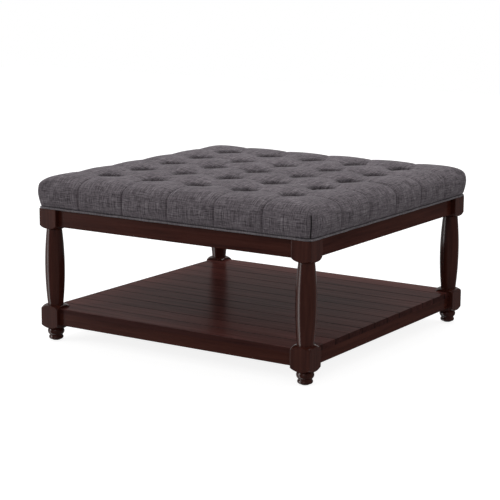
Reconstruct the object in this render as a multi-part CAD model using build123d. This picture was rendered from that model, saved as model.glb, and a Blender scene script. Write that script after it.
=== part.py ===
"""Square ottoman coffee table: tufted seat on turned legs, with a boarded shelf below.

Millimetres. X runs along the front, Y to the back, Z up. The origin is on the floor under
the middle of the table. The base has four equal corners and four equal sides, so each
corner or side piece is built once and turned about Z.
"""

import os
from math import sqrt

from build123d import *

# Overall frame
leg_spread = 900.0
leg_block = 60.0
rail_setback = 14.0
cut_overrun = 5.0
fit_clearance = 0.15

# Turned leg, heights of its parts from the floor up
glide_height = 3.0
disc_height = 10.0
disc_widest_share = 0.5
neck_height = 3.5
ring_height = 17.0
ring_widest_share = 0.5
pad_height = 1.5
foot_shoulder_rise = 12.0
lower_block_height = 46.0
shoulder_rise = 12.5
shaft_height = 217.0
collar_height = 3.5
upper_block_height = 46.0

# Turned leg, radii and roundings
sole_radius = 17.0
disc_radius = 21.0
neck_radius = 19.0
ring_radius = 24.0
cove_radius = 22.0
shoulder_inner_radius = 23.2
shoulder_bulge = 3.0
foot_shoulder_bulge = 1.0
shaft_end_radius = 22.3
shaft_belly_radius = 28.3
collar_draw = 1.6
arris_radius = 2.0
bolt_flat = 8.0

# Glide nailed under each foot
glide_radius = 12.0
glide_rim = 1.0
nail_radius = 1.0
nail_length = 14.0

# Aprons and shelf rails
apron_thickness = 20.0
apron_height = 51.0
rail_thickness = 20.0
rail_height = 33.0
edge_ease = 1.2

# Shelf
shelf_rise = 4.0
board_thickness = 16.0
board_count = 12
groove_bevel = 1.6
notch_clearance = 0.5
batten_width = 40.0
batten_height = 20.0

# Dowels
dowel_radius = 4.0
dowel_length = 36.0
dowel_spacing_share = 0.5

# Screws
screw_radius = 1.75
screw_head_radius = 3.8
screw_head_height = 2.2
board_screw_bite = 10.0
brace_screw_length = 30.0
brace_screw_bite = 14.0
deck_screw_length = 46.0
deck_screw_bite = 16.0
outer_board_screws = 3
outer_board_screw_pitch = 200.0

# Corner braces and hanger bolts
brace_thickness = 20.0
brace_height = 42.0
brace_gap = 8.0
brace_screw_spacing = 22.0
deck_screw_offset = 16.0
bolt_radius = 4.0
bolt_length = 80.0
bolt_tail = 3.5
washer_radius = 9.0
washer_thickness = 1.6
nut_across_flats = 13.0
nut_height = 6.5

# Seat deck, foam and cover
fabric_thickness = 2.0
deck_thickness = 18.0
foam_thickness = 46.0
wadding_thickness = 32.0
soft_clearance = 0.3
lip_width = 28.0
seat_overhang = 9.0
side_bulge = 1.4
plan_corner_radius = 27.0
edge_radius_across = 36.0
edge_radius_down = 39.0
edge_bulge = 10.5
edge_drop = 3.0

# Tufts, pillows and pleats
tuft_count = 5
tuft_margin = 155.0
pillow_rise = 8.0
crown_drop = 4.0
tuft_depth = 26.0
tuft_eye_radius = 3.0
tuft_mouth_radius = 46.0
pleat_draw = 6.0
panel_swell = 7.0
corner_seam_width = 1.8
corner_seam_depth = 2.2

# Welt, dust cover and tuft ties
welt_radius = 3.0
welt_corner_radius = 14.0
dust_thickness = 1.0
dust_hem_width = 20.0
dust_gap = 2.0
tie_radius = 1.5
tie_knot_radius = 6.0
tie_knot_height = 1.5

# Worked out from the sizes above
spread_half = leg_spread / 2
block_half = leg_block / 2
leg_axis = spread_half - block_half
block_inner = spread_half - leg_block
side_face = spread_half - rail_setback
disc_top = glide_height + disc_height
neck_top = disc_top + neck_height
ring_top = neck_top + ring_height
lower_block_bottom = ring_top + pad_height + foot_shoulder_rise
lower_block_top = lower_block_bottom + lower_block_height
shaft_foot = lower_block_top + shoulder_rise + pad_height
shaft_head = shaft_foot + shaft_height
upper_block_bottom = shaft_head + collar_height + shoulder_rise
seat_underside = upper_block_bottom + upper_block_height
shelf_top = lower_block_top + shelf_rise
apron_inner = side_face - apron_thickness
apron_middle = side_face - apron_thickness / 2
apron_bottom = seat_underside - apron_height
rail_inner = side_face - rail_thickness
rail_middle = side_face - rail_thickness / 2
rail_top = shelf_top - board_thickness
rail_bottom = rail_top - rail_height
board_width = 2 * side_face / board_count
board_screw_length = batten_height + board_screw_bite
deck_bottom = seat_underside + fabric_thickness
deck_top = deck_bottom + deck_thickness
foam_top = deck_top + foam_thickness
pillow_crest = foam_top + wadding_thickness
welt_line = spread_half
welt_top = seat_underside + 2 * welt_radius + soft_clearance
cover_foot_half = welt_line - welt_radius - soft_clearance
foot_corner_radius = welt_corner_radius - welt_radius - soft_clearance
deck_half = cover_foot_half - fabric_thickness - soft_clearance
deck_corner_radius = foot_corner_radius - fabric_thickness - soft_clearance
side_half_width = spread_half + seat_overhang
valley_height = pillow_crest - pillow_rise
edge_start = side_half_width - edge_radius_across
edge_top = valley_height - edge_drop
edge_foot = edge_top - edge_radius_down
panel_crest = side_half_width - pleat_draw + panel_swell
tuft_span = (tuft_count - 1) / 2
tuft_pitch = (side_half_width - tuft_margin) / tuft_span
tuft_lines = [(i - tuft_span) * tuft_pitch for i in range(tuft_count)]
tuft_points = [(x, y) for x in tuft_lines for y in tuft_lines]
brace_top = deck_bottom
brace_bottom = brace_top - brace_height
arris_reach = (apron_inner - block_inner) * sqrt(2)
flat_reach = arris_reach - bolt_flat / sqrt(2)
brace_outer = flat_reach + brace_gap
brace_inner = brace_outer + brace_thickness
bolt_height = (apron_bottom + seat_underside) / 2
nut_outer = brace_inner + washer_thickness + nut_height
bolt_start = nut_outer + bolt_tail - bolt_length

corner_turns = {"back_right": 0, "back_left": 90, "front_left": 180, "front_right": 270}
side_turns = {"front": 0, "right": 90, "back": 180, "left": 270}


def turned(shape, degrees):
    """The shape turned about the table's middle."""
    return Rot(0, 0, degrees) * shape


def bulged(start, end, bulge):
    """An arc from start to end whose middle stands bulge to the right of the chord."""
    across, rise = end[0] - start[0], end[1] - start[1]
    chord = sqrt(across**2 + rise**2)
    middle = (
        (start[0] + end[0]) / 2 + bulge * rise / chord,
        (start[1] + end[1]) / 2 - bulge * across / chord,
    )
    return ThreePointArc(start, middle, end)


def face_of(lines):
    """The face inside a closed run of lines and arcs, upright in the XZ plane."""
    return Plane.XZ * make_face(Curve() + lines)


def cylinder_along(radius, start, end, axis_point, direction):
    """A round bar from start to end along a direction, measured from a point on its axis."""
    origin = Vector(*axis_point) + Vector(*direction) * start
    plane = Plane(origin=origin, z_dir=Vector(*direction))
    return extrude(plane * Circle(radius), end - start)


def screw(length, head_point, direction):
    """A pan-head screw: its head's outer face is at head_point and it points along direction."""
    head = cylinder_along(screw_head_radius, 0, screw_head_height, head_point, direction)
    shank = cylinder_along(screw_radius, screw_head_height, length, head_point, direction)
    return head + shank


def screw_hole(length, head_point, direction, mouth):
    """The hole for a screw, with a head pocket that opens mouth behind the head."""
    pocket = cylinder_along(
        screw_head_radius + fit_clearance, -mouth, screw_head_height, head_point, direction
    )
    shank = cylinder_along(
        screw_radius + fit_clearance, 0, length + fit_clearance, head_point, direction
    )
    return pocket + shank


# Turned legs


def leg_section():
    """Half the turned section of a leg, from the axis out past the block corners."""
    corner = block_half * sqrt(2)
    outside = corner + cut_overrun
    inner = shoulder_inner_radius
    sole = (sole_radius, glide_height)
    disc_edge = (disc_radius, glide_height + disc_height * disc_widest_share)
    ring_edge = (ring_radius, neck_top + ring_height * ring_widest_share)
    belly = (shaft_belly_radius, (shaft_foot + shaft_head) / 2)
    collar = shaft_end_radius - collar_draw
    lower_eye = shaft_foot - pad_height
    upper_eye = shaft_head + collar_height
    foot_line = [
        Line((0, glide_height), sole),
        ThreePointArc(sole, disc_edge, (neck_radius, disc_top)),
        Line((neck_radius, disc_top), (neck_radius, neck_top)),
        ThreePointArc((neck_radius, neck_top), ring_edge, (cove_radius, ring_top)),
        Line((cove_radius, ring_top), (inner, ring_top + pad_height)),
    ]
    lower_block_line = [
        bulged((inner, ring_top + pad_height), (corner, lower_block_bottom), foot_shoulder_bulge),
        Line((corner, lower_block_bottom), (outside, lower_block_bottom)),
        Line((outside, lower_block_bottom), (outside, lower_block_top)),
        Line((outside, lower_block_top), (corner, lower_block_top)),
        bulged((corner, lower_block_top), (inner, lower_eye), shoulder_bulge),
    ]
    shaft_line = [
        Line((inner, lower_eye), (inner, shaft_foot)),
        Line((inner, shaft_foot), (shaft_end_radius, shaft_foot)),
        ThreePointArc((shaft_end_radius, shaft_foot), belly, (shaft_end_radius, shaft_head)),
        bulged((shaft_end_radius, shaft_head), (collar, upper_eye), collar_draw / 2),
        Line((collar, upper_eye), (inner, upper_eye)),
    ]
    upper_block_line = [
        bulged((inner, upper_eye), (corner, upper_block_bottom), shoulder_bulge),
        Line((corner, upper_block_bottom), (outside, upper_block_bottom)),
        Line((outside, upper_block_bottom), (outside, seat_underside)),
        Line((outside, seat_underside), (0, seat_underside)),
        Line((0, seat_underside), (0, glide_height)),
    ]
    return face_of(foot_line + lower_block_line + shaft_line + upper_block_line)


def apron_dowel_heights():
    """Heights of the two dowels in an apron's end."""
    middle, half = apron_bottom + apron_height / 2, apron_height * dowel_spacing_share / 2
    return [middle - half, middle + half]


def rail_dowel_heights():
    """Heights of the two dowels in a shelf rail's end."""
    middle, half = rail_bottom + rail_height / 2, rail_height * dowel_spacing_share / 2
    return [middle - half, middle + half]


def side_dowels(line, heights, radius, spare):
    """The dowels at both ends of the front apron or rail, whose middle is line from the centre."""
    return [
        cylinder_along(
            radius,
            -dowel_length / 2 - spare,
            dowel_length / 2 + spare,
            (hand * block_inner, -line, height),
            (hand, 0, 0),
        )
        for hand in (-1, 1)
        for height in heights
    ]


def all_dowels(line, heights, radius=dowel_radius, spare=0.0):
    """The dowels of all four sides."""
    front = side_dowels(line, heights, radius, spare)
    return [turned(dowel, turn) for turn in side_turns.values() for dowel in front]


def dowel_holes():
    """Holes for every dowel of the base."""
    radius = dowel_radius + fit_clearance
    aprons = all_dowels(apron_middle, apron_dowel_heights(), radius, fit_clearance)
    rails = all_dowels(rail_middle, rail_dowel_heights(), radius, fit_clearance)
    return aprons + rails


def corner_point(reach, across=0.0, height=0.0):
    """A point in the back right corner, reach inward from where the apron faces meet."""
    return (
        apron_inner - (reach + across) / sqrt(2),
        apron_inner - (reach - across) / sqrt(2),
        height,
    )


def inward():
    """The level direction from the back right corner to the middle."""
    return (-1 / sqrt(2), -1 / sqrt(2), 0)


def bolt_bar(radius, spare):
    """The hanger bolt of the back right corner, or its hole when spare is given."""
    start = corner_point(bolt_start, 0, bolt_height)
    return cylinder_along(radius, -spare, bolt_length + spare, start, inward())


def nail_bar(radius, spare):
    """The glide's nail in the back right leg."""
    foot = (leg_axis, leg_axis, glide_height)
    return cylinder_along(radius, 0, nail_length + spare, foot, (0, 0, 1))


def make_leg(holes):
    """The back right leg: a square prism kept only where the lathe left it."""
    blank = extrude(RectangleRounded(leg_block, leg_block, arris_radius), seat_underside)
    lathe = revolve(leg_section(), Axis.Z)
    leg = Pos(leg_axis, leg_axis, 0) * (blank & lathe)
    flat = Plane(origin=corner_point(flat_reach), z_dir=inward())
    chip = extrude(flat * Rectangle(leg_block, 2 * seat_underside), leg_block)
    seat_band = Pos(0, 0, seat_underside) * Box(leg_spread, leg_spread, 2 * apron_height)
    leg -= chip & seat_band
    leg -= bolt_bar(bolt_radius + fit_clearance, fit_clearance)
    leg -= nail_bar(nail_radius + fit_clearance, fit_clearance)
    near = [hole for hole in holes if hole.center().X > 0 and hole.center().Y > 0]
    return leg - near


def make_glide():
    """A domed nylon glide with its nail, under the back right foot."""
    face = Pos(leg_axis, leg_axis, 0) * Cylinder(
        glide_radius, glide_height, align=(Align.CENTER, Align.CENTER, Align.MIN)
    )
    face = chamfer(face.edges().group_by(Axis.Z)[0], glide_rim)
    return face + nail_bar(nail_radius, 0)


# Aprons and shelf


def eased_bar(length, thickness, height, line, bottom):
    """A front bar between two leg blocks, with its lower long edges eased."""
    bar = Pos(0, -line, bottom + height / 2) * Box(length, thickness, height)
    lower = bar.edges().filter_by(Axis.X).group_by(Axis.Z)[0]
    return chamfer(lower, edge_ease)


def make_apron(holes):
    """The front apron."""
    apron = eased_bar(2 * block_inner, apron_thickness, apron_height, apron_middle, apron_bottom)
    return apron - [hole for hole in holes if hole.center().Y < -apron_inner]


def make_rail(holes):
    """The front shelf rail, before its screw holes."""
    rail = eased_bar(2 * block_inner, rail_thickness, rail_height, rail_middle, rail_bottom)
    return rail - [hole for hole in holes if hole.center().Y < -rail_inner]


def board_middle(index):
    """Where a shelf board's middle lies, counted from the front."""
    return -side_face + (index + 0.5) * board_width


def board_screw_points():
    """The places of the shelf screws, with the board that each one holds."""
    points = []
    for index in range(board_count):
        middle = board_middle(index)
        if abs(middle) < rail_inner - board_width / 2:
            points += [(index, x, middle) for x in (-rail_middle, 0, rail_middle)]
        else:
            row = rail_middle if middle > 0 else -rail_middle
            span = (outer_board_screws - 1) / 2
            points += [
                (index, (i - span) * outer_board_screw_pitch, row) for i in range(outer_board_screws)
            ]
    return points


def make_board(index, screw_holes):
    """A shelf board with bevelled long edges, notched where it meets a leg block."""
    middle = board_middle(index)
    board = Pos(0, middle, rail_top + board_thickness / 2) * Box(
        2 * side_face, board_width, board_thickness
    )
    upper = board.edges().filter_by(Axis.X).group_by(Axis.Z)[-1]
    board = chamfer(upper, groove_bevel)
    if abs(middle) > block_inner - board_width / 2:
        notch = leg_block + 2 * notch_clearance
        for hand in (-1, 1):
            back = 1 if middle > 0 else -1
            board -= Pos(hand * leg_axis, back * leg_axis, shelf_top) * Box(notch, notch, shelf_top)
    return board - screw_holes[index]


def make_batten():
    """The batten under the middle of the boards, from rail to rail."""
    return Pos(0, 0, rail_top - batten_height / 2) * Box(
        batten_width, 2 * rail_inner, batten_height
    )


# Corner braces


def make_brace(brace_holes):
    """The back right brace: a block mitred to both aprons."""
    outline = [
        corner_point(brace_outer, brace_outer),
        corner_point(brace_inner, brace_inner),
        corner_point(brace_inner, -brace_inner),
        corner_point(brace_outer, -brace_outer),
    ]
    base = make_face(Polyline(*[(x, y) for x, y, _ in outline], close=True))
    brace = Pos(0, 0, brace_bottom) * extrude(base, brace_height)
    brace -= bolt_bar(bolt_radius + fit_clearance, fit_clearance)
    return brace - brace_holes


def brace_screw_places():
    """Head points and directions of the four screws that hold the back right brace."""
    sunk = apron_inner + brace_screw_bite - brace_screw_length
    along = 2 * apron_inner - brace_inner * sqrt(2) - sunk + screw_head_height
    heights = [bolt_height - brace_screw_spacing / 2, bolt_height + brace_screw_spacing / 2]
    places = []
    for height in heights:
        places.append(((along, sunk, height), (0, 1, 0)))
        places.append(((sunk, along, height), (1, 0, 0)))
    return places


def deck_screw_places():
    """Head points and directions of the two screws from the back right brace to the deck."""
    reach = (brace_outer + brace_inner) / 2
    head = deck_bottom + deck_screw_bite - deck_screw_length
    return [
        (corner_point(reach, hand * deck_screw_offset, head), (0, 0, 1)) for hand in (-1, 1)
    ]


def make_washer():
    """The washer under the back right nut."""
    start = corner_point(brace_inner, 0, bolt_height)
    disc = cylinder_along(washer_radius, 0, washer_thickness, start, inward())
    return disc - bolt_bar(bolt_radius + fit_clearance, fit_clearance)


def make_nut():
    """The hexagon nut on the back right hanger bolt."""
    start = corner_point(brace_inner + washer_thickness, 0, bolt_height)
    plane = Plane(origin=Vector(*start), z_dir=Vector(*inward()))
    hexagon = RegularPolygon(nut_across_flats / 2, 6, major_radius=False)
    nut = extrude(plane * hexagon, nut_height)
    return nut - bolt_bar(bolt_radius + fit_clearance, fit_clearance)


# Upholstered seat


def crest_line(position):
    """Height of a pleat line between pillows, which falls from the middle to the edges."""
    return valley_height - crown_drop * (position / tuft_lines[-1]) ** 2


def pillow_section():
    """The section across the seat: drawn-in sides, rounded edges and a row of pillows."""
    lines = [Line((-cover_foot_half, seat_underside), (cover_foot_half, seat_underside))]
    for hand in (-1, 1):
        foot = (hand * cover_foot_half, seat_underside)
        drawn_in = (hand * cover_foot_half, welt_top)
        widest = (hand * side_half_width, edge_foot)
        shoulder = (hand * edge_start, edge_top)
        lines.append(Line(foot, drawn_in))
        lines.append(bulged(drawn_in, widest, hand * side_bulge))
        lines.append(bulged(widest, shoulder, hand * edge_bulge))
    stops = [(-edge_start, edge_top)] + [(x, crest_line(x)) for x in tuft_lines]
    stops.append((edge_start, edge_top))
    lines += [bulged(right, left, pillow_rise) for left, right in zip(stops, stops[1:])]
    return face_of(lines)


def plan_outline():
    """The seat in plan: round corners, and four sides drawn in at each pleat."""
    end = panel_crest - plan_corner_radius
    middle = end + plan_corner_radius / sqrt(2)
    stops = [(-end, -panel_crest)] + [(x, pleat_draw - side_half_width) for x in tuft_lines]
    stops.append((end, -panel_crest))
    side = [bulged(left, right, panel_swell) for left, right in zip(stops, stops[1:])]
    side.append(ThreePointArc((end, -panel_crest), (middle, -middle), (panel_crest, -end)))
    lines = [turned(line, turn) for turn in side_turns.values() for line in side]
    return make_face(Curve() + lines)


def edge_scallops():
    """The waste that draws the rounded top edges in at each pleat, for all four sides."""
    chord = (edge_radius_across, edge_radius_down)
    length = sqrt(chord[0] ** 2 + chord[1] ** 2)
    out = side_half_width - chord[0] / 2 + edge_bulge * chord[1] / length
    up = edge_foot + chord[1] / 2 + edge_bulge * chord[0] / length
    crest = (out + up) / sqrt(2)
    end = panel_crest
    stops = [(-end, crest + panel_swell)] + [(x, crest - pleat_draw) for x in tuft_lines]
    stops.append((end, crest + panel_swell))
    arcs = [bulged(right, left, panel_swell) for left, right in zip(stops, stops[1:])]
    outer = crest + 2 * edge_radius_down
    lines = [
        Line(stops[0], (-end, outer)),
        Line((-end, outer), (end, outer)),
        Line((end, outer), stops[-1]),
    ]
    diagonal = Plane(origin=(0, 0, 0), x_dir=(-1, 0, 0), z_dir=(0, 1, 1))
    middle = (up - out) / sqrt(2)
    waste = extrude(
        diagonal.offset(middle - edge_radius_down) * make_face(Curve() + arcs + lines),
        2 * edge_radius_down,
    )
    return [turned(waste, turn) for turn in side_turns.values()]


def tuft_funnel():
    """The hollow of one tuft, from its sewn eye out to where the pillows roll in."""
    eye = (tuft_eye_radius, pillow_crest - tuft_depth)
    run = tuft_mouth_radius - tuft_eye_radius
    roll = (run**2 + tuft_depth**2) / (2 * tuft_depth)
    chord = sqrt(run**2 + tuft_depth**2)
    sagitta = roll - sqrt(roll**2 - chord**2 / 4)
    mouth = (tuft_mouth_radius, pillow_crest)
    brim = pillow_crest + pillow_rise
    section = face_of([
        Line((0, eye[1]), eye),
        bulged(mouth, eye, sagitta),
        Line(mouth, (mouth[0], brim)),
        Line((mouth[0], brim), (0, brim)),
        Line((0, brim), (0, eye[1])),
    ])
    return revolve(section, Axis.Z)


def seat_form():
    """The outer form of the upholstered seat, without its tufts."""
    across = extrude(pillow_section(), side_half_width + cut_overrun, both=True)
    height = pillow_crest - seat_underside + cut_overrun
    plan = extrude(Pos(0, 0, seat_underside) * plan_outline(), height)
    foot = RectangleRounded(2 * cover_foot_half, 2 * cover_foot_half, foot_corner_radius)
    blank = Rectangle(3 * side_half_width, 3 * side_half_width)
    band = Pos(0, 0, seat_underside) * extrude(blank - foot, welt_top - seat_underside)
    return (across & turned(across, 90) & plan) - band - edge_scallops()


def corner_seams():
    """Upright slots for the sewn seams at the four corners."""
    surface = (panel_crest - plan_corner_radius) * sqrt(2) + plan_corner_radius
    seam = Rot(0, 0, 45) * (
        Pos(surface, 0, (welt_top + edge_foot) / 2)
        * Box(2 * corner_seam_depth, corner_seam_width, edge_foot - welt_top)
    )
    return [turned(seam, turn) for turn in corner_turns.values()]


def make_cover():
    """The tufted cover with its fibre filling, hollow for the foam and deck."""
    cover = seat_form()
    funnel = tuft_funnel()
    cover -= [Pos(x, y, 0) * funnel for x, y in tuft_points]
    cover -= corner_seams()
    cavity_half = deck_half + soft_clearance
    cavity = Pos(0, 0, deck_bottom) * extrude(
        RectangleRounded(2 * cavity_half, 2 * cavity_half, deck_corner_radius),
        foam_top + soft_clearance - deck_bottom,
    )
    mouth_half = cover_foot_half - lip_width
    mouth = Pos(0, 0, deck_bottom) * Box(2 * mouth_half, 2 * mouth_half, 3 * fabric_thickness)
    return cover - cavity - mouth


def tie_bars(radius, start, end):
    """A round bar at every tuft."""
    return [cylinder_along(radius, start, end, (x, y, 0), (0, 0, 1)) for x, y in tuft_points]


def make_foam():
    """The foam pad on the deck, with a hole at each tuft."""
    foam = Pos(0, 0, deck_top) * extrude(
        RectangleRounded(2 * deck_half, 2 * deck_half, deck_corner_radius), foam_thickness
    )
    return foam - tie_bars(tie_radius + soft_clearance, deck_top - cut_overrun, foam_top + cut_overrun)


def make_deck(deck_holes):
    """The plywood deck, drilled for the tuft ties and the screws from the braces."""
    deck = Pos(0, 0, deck_bottom) * extrude(
        RectangleRounded(2 * deck_half, 2 * deck_half, deck_corner_radius), deck_thickness
    )
    drilled = tie_bars(tie_radius + soft_clearance, deck_bottom - cut_overrun, deck_top + cut_overrun)
    return deck - drilled - deck_holes


def make_ties():
    """The tuft ties: twine from each tuft down through the deck to a knot."""
    twine = tie_bars(tie_radius, deck_bottom, foam_top + soft_clearance)
    knots = tie_bars(tie_knot_radius, deck_bottom - tie_knot_height, deck_bottom)
    return [bar + knot for bar, knot in zip(twine, knots)]


def make_welt():
    """The welt cord round the foot of the cover, one closed ring."""
    middle = seat_underside + welt_radius
    path = Pos(0, 0, middle) * RectangleRounded(
        2 * welt_line, 2 * welt_line, welt_corner_radius
    ).wire()
    start = Plane(origin=path @ 0, z_dir=path % 0)
    return sweep(start * Circle(welt_radius), path)


def make_dust_cover():
    """The dust cover under the deck: a thin sheet with a folded hem, cut back at the braces."""
    half = apron_inner - dust_gap
    corner = (brace_inner + dust_gap) * sqrt(2) - dust_gap
    top = deck_bottom - tie_knot_height
    sheet = Rectangle(2 * half, 2 * half)
    sheet = chamfer(sheet.vertices(), corner)
    hem = sheet - offset(sheet, -dust_hem_width)
    flat = Pos(0, 0, top - dust_thickness) * extrude(sheet, dust_thickness)
    return flat + Pos(0, 0, top) * extrude(hem, tie_knot_height)


# Assembly


def touching(shape, tools):
    """The tools whose boxes meet the shape's box."""
    box = shape.bounding_box()
    near = []
    for tool in tools:
        other = tool.bounding_box()
        apart = (
            other.min.X > box.max.X
            or other.max.X < box.min.X
            or other.min.Y > box.max.Y
            or other.max.Y < box.min.Y
            or other.min.Z > box.max.Z
            or other.max.Z < box.min.Z
        )
        if not apart:
            near.append(tool)
    return near


def build():
    """Every piece, by its node's name."""
    pieces = {}
    holes = dowel_holes()
    head = rail_top - batten_height
    pocket = rail_height - batten_height + cut_overrun
    up = (0, 0, 1)
    board_screws = []
    board_holes = {index: [] for index in range(board_count)}
    for index, x, y in board_screw_points():
        board_screws.append(screw(board_screw_length, (x, y, head), up))
        board_holes[index].append(screw_hole(board_screw_length, (x, y, head), up, pocket))
    all_board_holes = [hole for group in board_holes.values() for hole in group]

    leg = make_leg(holes)
    glide = make_glide()
    brace_holes = [
        screw_hole(brace_screw_length, point, way, brace_thickness)
        for point, way in brace_screw_places()
    ]
    deck_holes = [
        screw_hole(deck_screw_length, point, way, brace_thickness)
        for point, way in deck_screw_places()
    ]
    brace = make_brace(brace_holes + deck_holes)
    for name, turn in corner_turns.items():
        pieces[f"leg_{name}"] = turned(leg, turn)
        pieces[f"foot_glide_{name}"] = turned(glide, turn)
        pieces[f"corner_brace_{name}"] = turned(brace, turn)

    apron = make_apron(holes)
    rail = make_rail(holes)
    every_brace_hole = [turned(hole, turn) for turn in corner_turns.values() for hole in brace_holes]
    for name, turn in side_turns.items():
        side_apron = turned(apron, turn)
        side_rail = turned(rail, turn)
        pieces[f"apron_{name}"] = side_apron - touching(side_apron, every_brace_hole)
        pieces[f"shelf_rail_{name}"] = side_rail - touching(side_rail, all_board_holes)
    batten = make_batten()
    pieces["shelf_batten"] = batten - touching(batten, all_board_holes)
    for index in range(board_count):
        pieces[f"shelf_board_{index + 1:02d}"] = make_board(index, board_holes)
    pieces["shelf_screws"] = board_screws
    pieces["apron_dowels"] = all_dowels(apron_middle, apron_dowel_heights())
    pieces["shelf_rail_dowels"] = all_dowels(rail_middle, rail_dowel_heights())

    four = corner_turns.values()
    pieces["hanger_bolts"] = [turned(bolt_bar(bolt_radius, 0), turn) for turn in four]
    pieces["hanger_washers"] = [turned(make_washer(), turn) for turn in four]
    pieces["hanger_nuts"] = [turned(make_nut(), turn) for turn in four]
    pieces["brace_screws"] = [
        turned(screw(brace_screw_length, point, way), turn)
        for turn in four
        for point, way in brace_screw_places()
    ]
    pieces["deck_screws"] = [
        turned(screw(deck_screw_length, point, way), turn)
        for turn in four
        for point, way in deck_screw_places()
    ]
    pieces["seat_deck"] = make_deck([turned(hole, turn) for turn in four for hole in deck_holes])
    pieces["foam_pad"] = make_foam()
    pieces["tuft_ties"] = make_ties()
    pieces["tufted_cover"] = make_cover()
    pieces["welt_cord"] = make_welt()
    pieces["dust_cover"] = make_dust_cover()
    return pieces


os.makedirs("parts", exist_ok=True)
for node, piece in build().items():
    solids = piece if isinstance(piece, list) else [piece]
    members = [solid for item in solids for solid in item.solids()]
    shape = members[0] if len(members) == 1 else Compound(children=members)
    export_step(shape, f"parts/{node}.step")
    print(node, len(members), round(sum(solid.volume for solid in members)))
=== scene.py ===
"""Looks for the square ottoman coffee table: a tufted seat on turned legs over a shelf.

Metres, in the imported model's own frame: X along the front, Y to the back, Z up from the
floor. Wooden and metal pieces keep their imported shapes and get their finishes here. The
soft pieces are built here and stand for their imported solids.
"""

import logging
import math
from dataclasses import dataclass
from enum import Enum
from typing import Any

import bmesh
import bpy
import numpy as np
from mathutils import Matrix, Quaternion, Vector


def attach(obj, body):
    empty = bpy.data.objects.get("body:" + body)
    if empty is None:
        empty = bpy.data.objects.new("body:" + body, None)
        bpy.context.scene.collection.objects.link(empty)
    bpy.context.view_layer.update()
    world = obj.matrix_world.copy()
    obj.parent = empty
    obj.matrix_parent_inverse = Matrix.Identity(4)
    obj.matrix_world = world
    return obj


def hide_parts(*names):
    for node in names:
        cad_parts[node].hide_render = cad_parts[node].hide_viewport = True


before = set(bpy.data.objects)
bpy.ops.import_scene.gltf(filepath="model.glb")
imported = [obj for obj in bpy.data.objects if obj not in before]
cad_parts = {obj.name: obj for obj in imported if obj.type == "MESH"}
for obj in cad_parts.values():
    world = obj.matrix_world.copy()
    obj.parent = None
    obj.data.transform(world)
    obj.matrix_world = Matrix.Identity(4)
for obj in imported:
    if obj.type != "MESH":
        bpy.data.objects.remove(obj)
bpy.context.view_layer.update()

log = logging.getLogger("ottoman")

Colour = tuple[float, float, float]
Place = tuple[float, float, float]
Span = tuple[float, float]
Socket = bpy.types.NodeSocket
Sockets = bpy.types.NodeOutputs
Points = np.ndarray
Faces = list[list[int]]


@dataclass(frozen=True)
class TuftGrid:
    """The square grid that the tufts are on."""

    pitch: float = 0.152
    rows: int = 5

    @property
    def outer(self) -> float:
        """How far from the middle the outer lines lie."""
        return self.pitch * (self.rows - 1) / 2

    def lines(self) -> Points:
        """Where the lines of tufts lie on either axis."""
        return (np.arange(self.rows) - (self.rows - 1) / 2) * self.pitch

    def away(self, place: Points) -> Points:
        """The signed distance from a place to the nearest line of tufts."""
        half = (self.rows - 1) / 2
        return place - np.clip(np.round(place / self.pitch), -half, half) * self.pitch


# Shaders


class Nodes:
    """A node tree that is being put together."""

    def __init__(self, tree: bpy.types.NodeTree) -> None:
        """Takes on a tree."""
        self.tree = tree

    def node(self, kind: str, inputs: dict[int | str, Any] | None = None, **settings: Any) -> bpy.types.Node:
        """Adds a node.

        Args:
            kind: The node's type.
            inputs: Values or sockets, by input name or number.
            **settings: The node's own settings.

        Returns:
            The new node.
        """
        made = self.tree.nodes.new(kind)
        for key, value in settings.items():
            setattr(made, key, value)
        for key, value in (inputs or {}).items():
            if isinstance(value, Socket):
                self.tree.links.new(value, made.inputs[key])
            else:
                made.inputs[key].default_value = value
        return made

    def sum(self, operation: str, first: Socket | float, second: Socket | float = 0.0) -> Socket:
        """One sum on two numbers, by the Math node's name for it."""
        return self.node("ShaderNodeMath", {0: first, 1: second}, operation=operation).outputs[0]

    def parts(self, vector: Socket) -> Sockets:
        """A vector's X, Y and Z sockets."""
        return self.node("ShaderNodeSeparateXYZ", {"Vector": vector}).outputs

    def spread(self, number: Socket, given: Span, wanted: Span = (0.0, 1.0), smooth: bool = False) -> Socket:
        """Moves a number from one span to another and holds it at the ends.

        Args:
            number: The number.
            given: The two numbers that it comes from.
            wanted: The two numbers that they become.
            smooth: Whether it eases in and out.

        Returns:
            The result's socket.
        """
        inputs = {
            "Value": number,
            "From Min": given[0],
            "From Max": given[1],
            "To Min": wanted[0],
            "To Max": wanted[1],
        }
        easing = "SMOOTHSTEP" if smooth else "LINEAR"
        return self.node("ShaderNodeMapRange", inputs, interpolation_type=easing).outputs["Result"]


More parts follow.
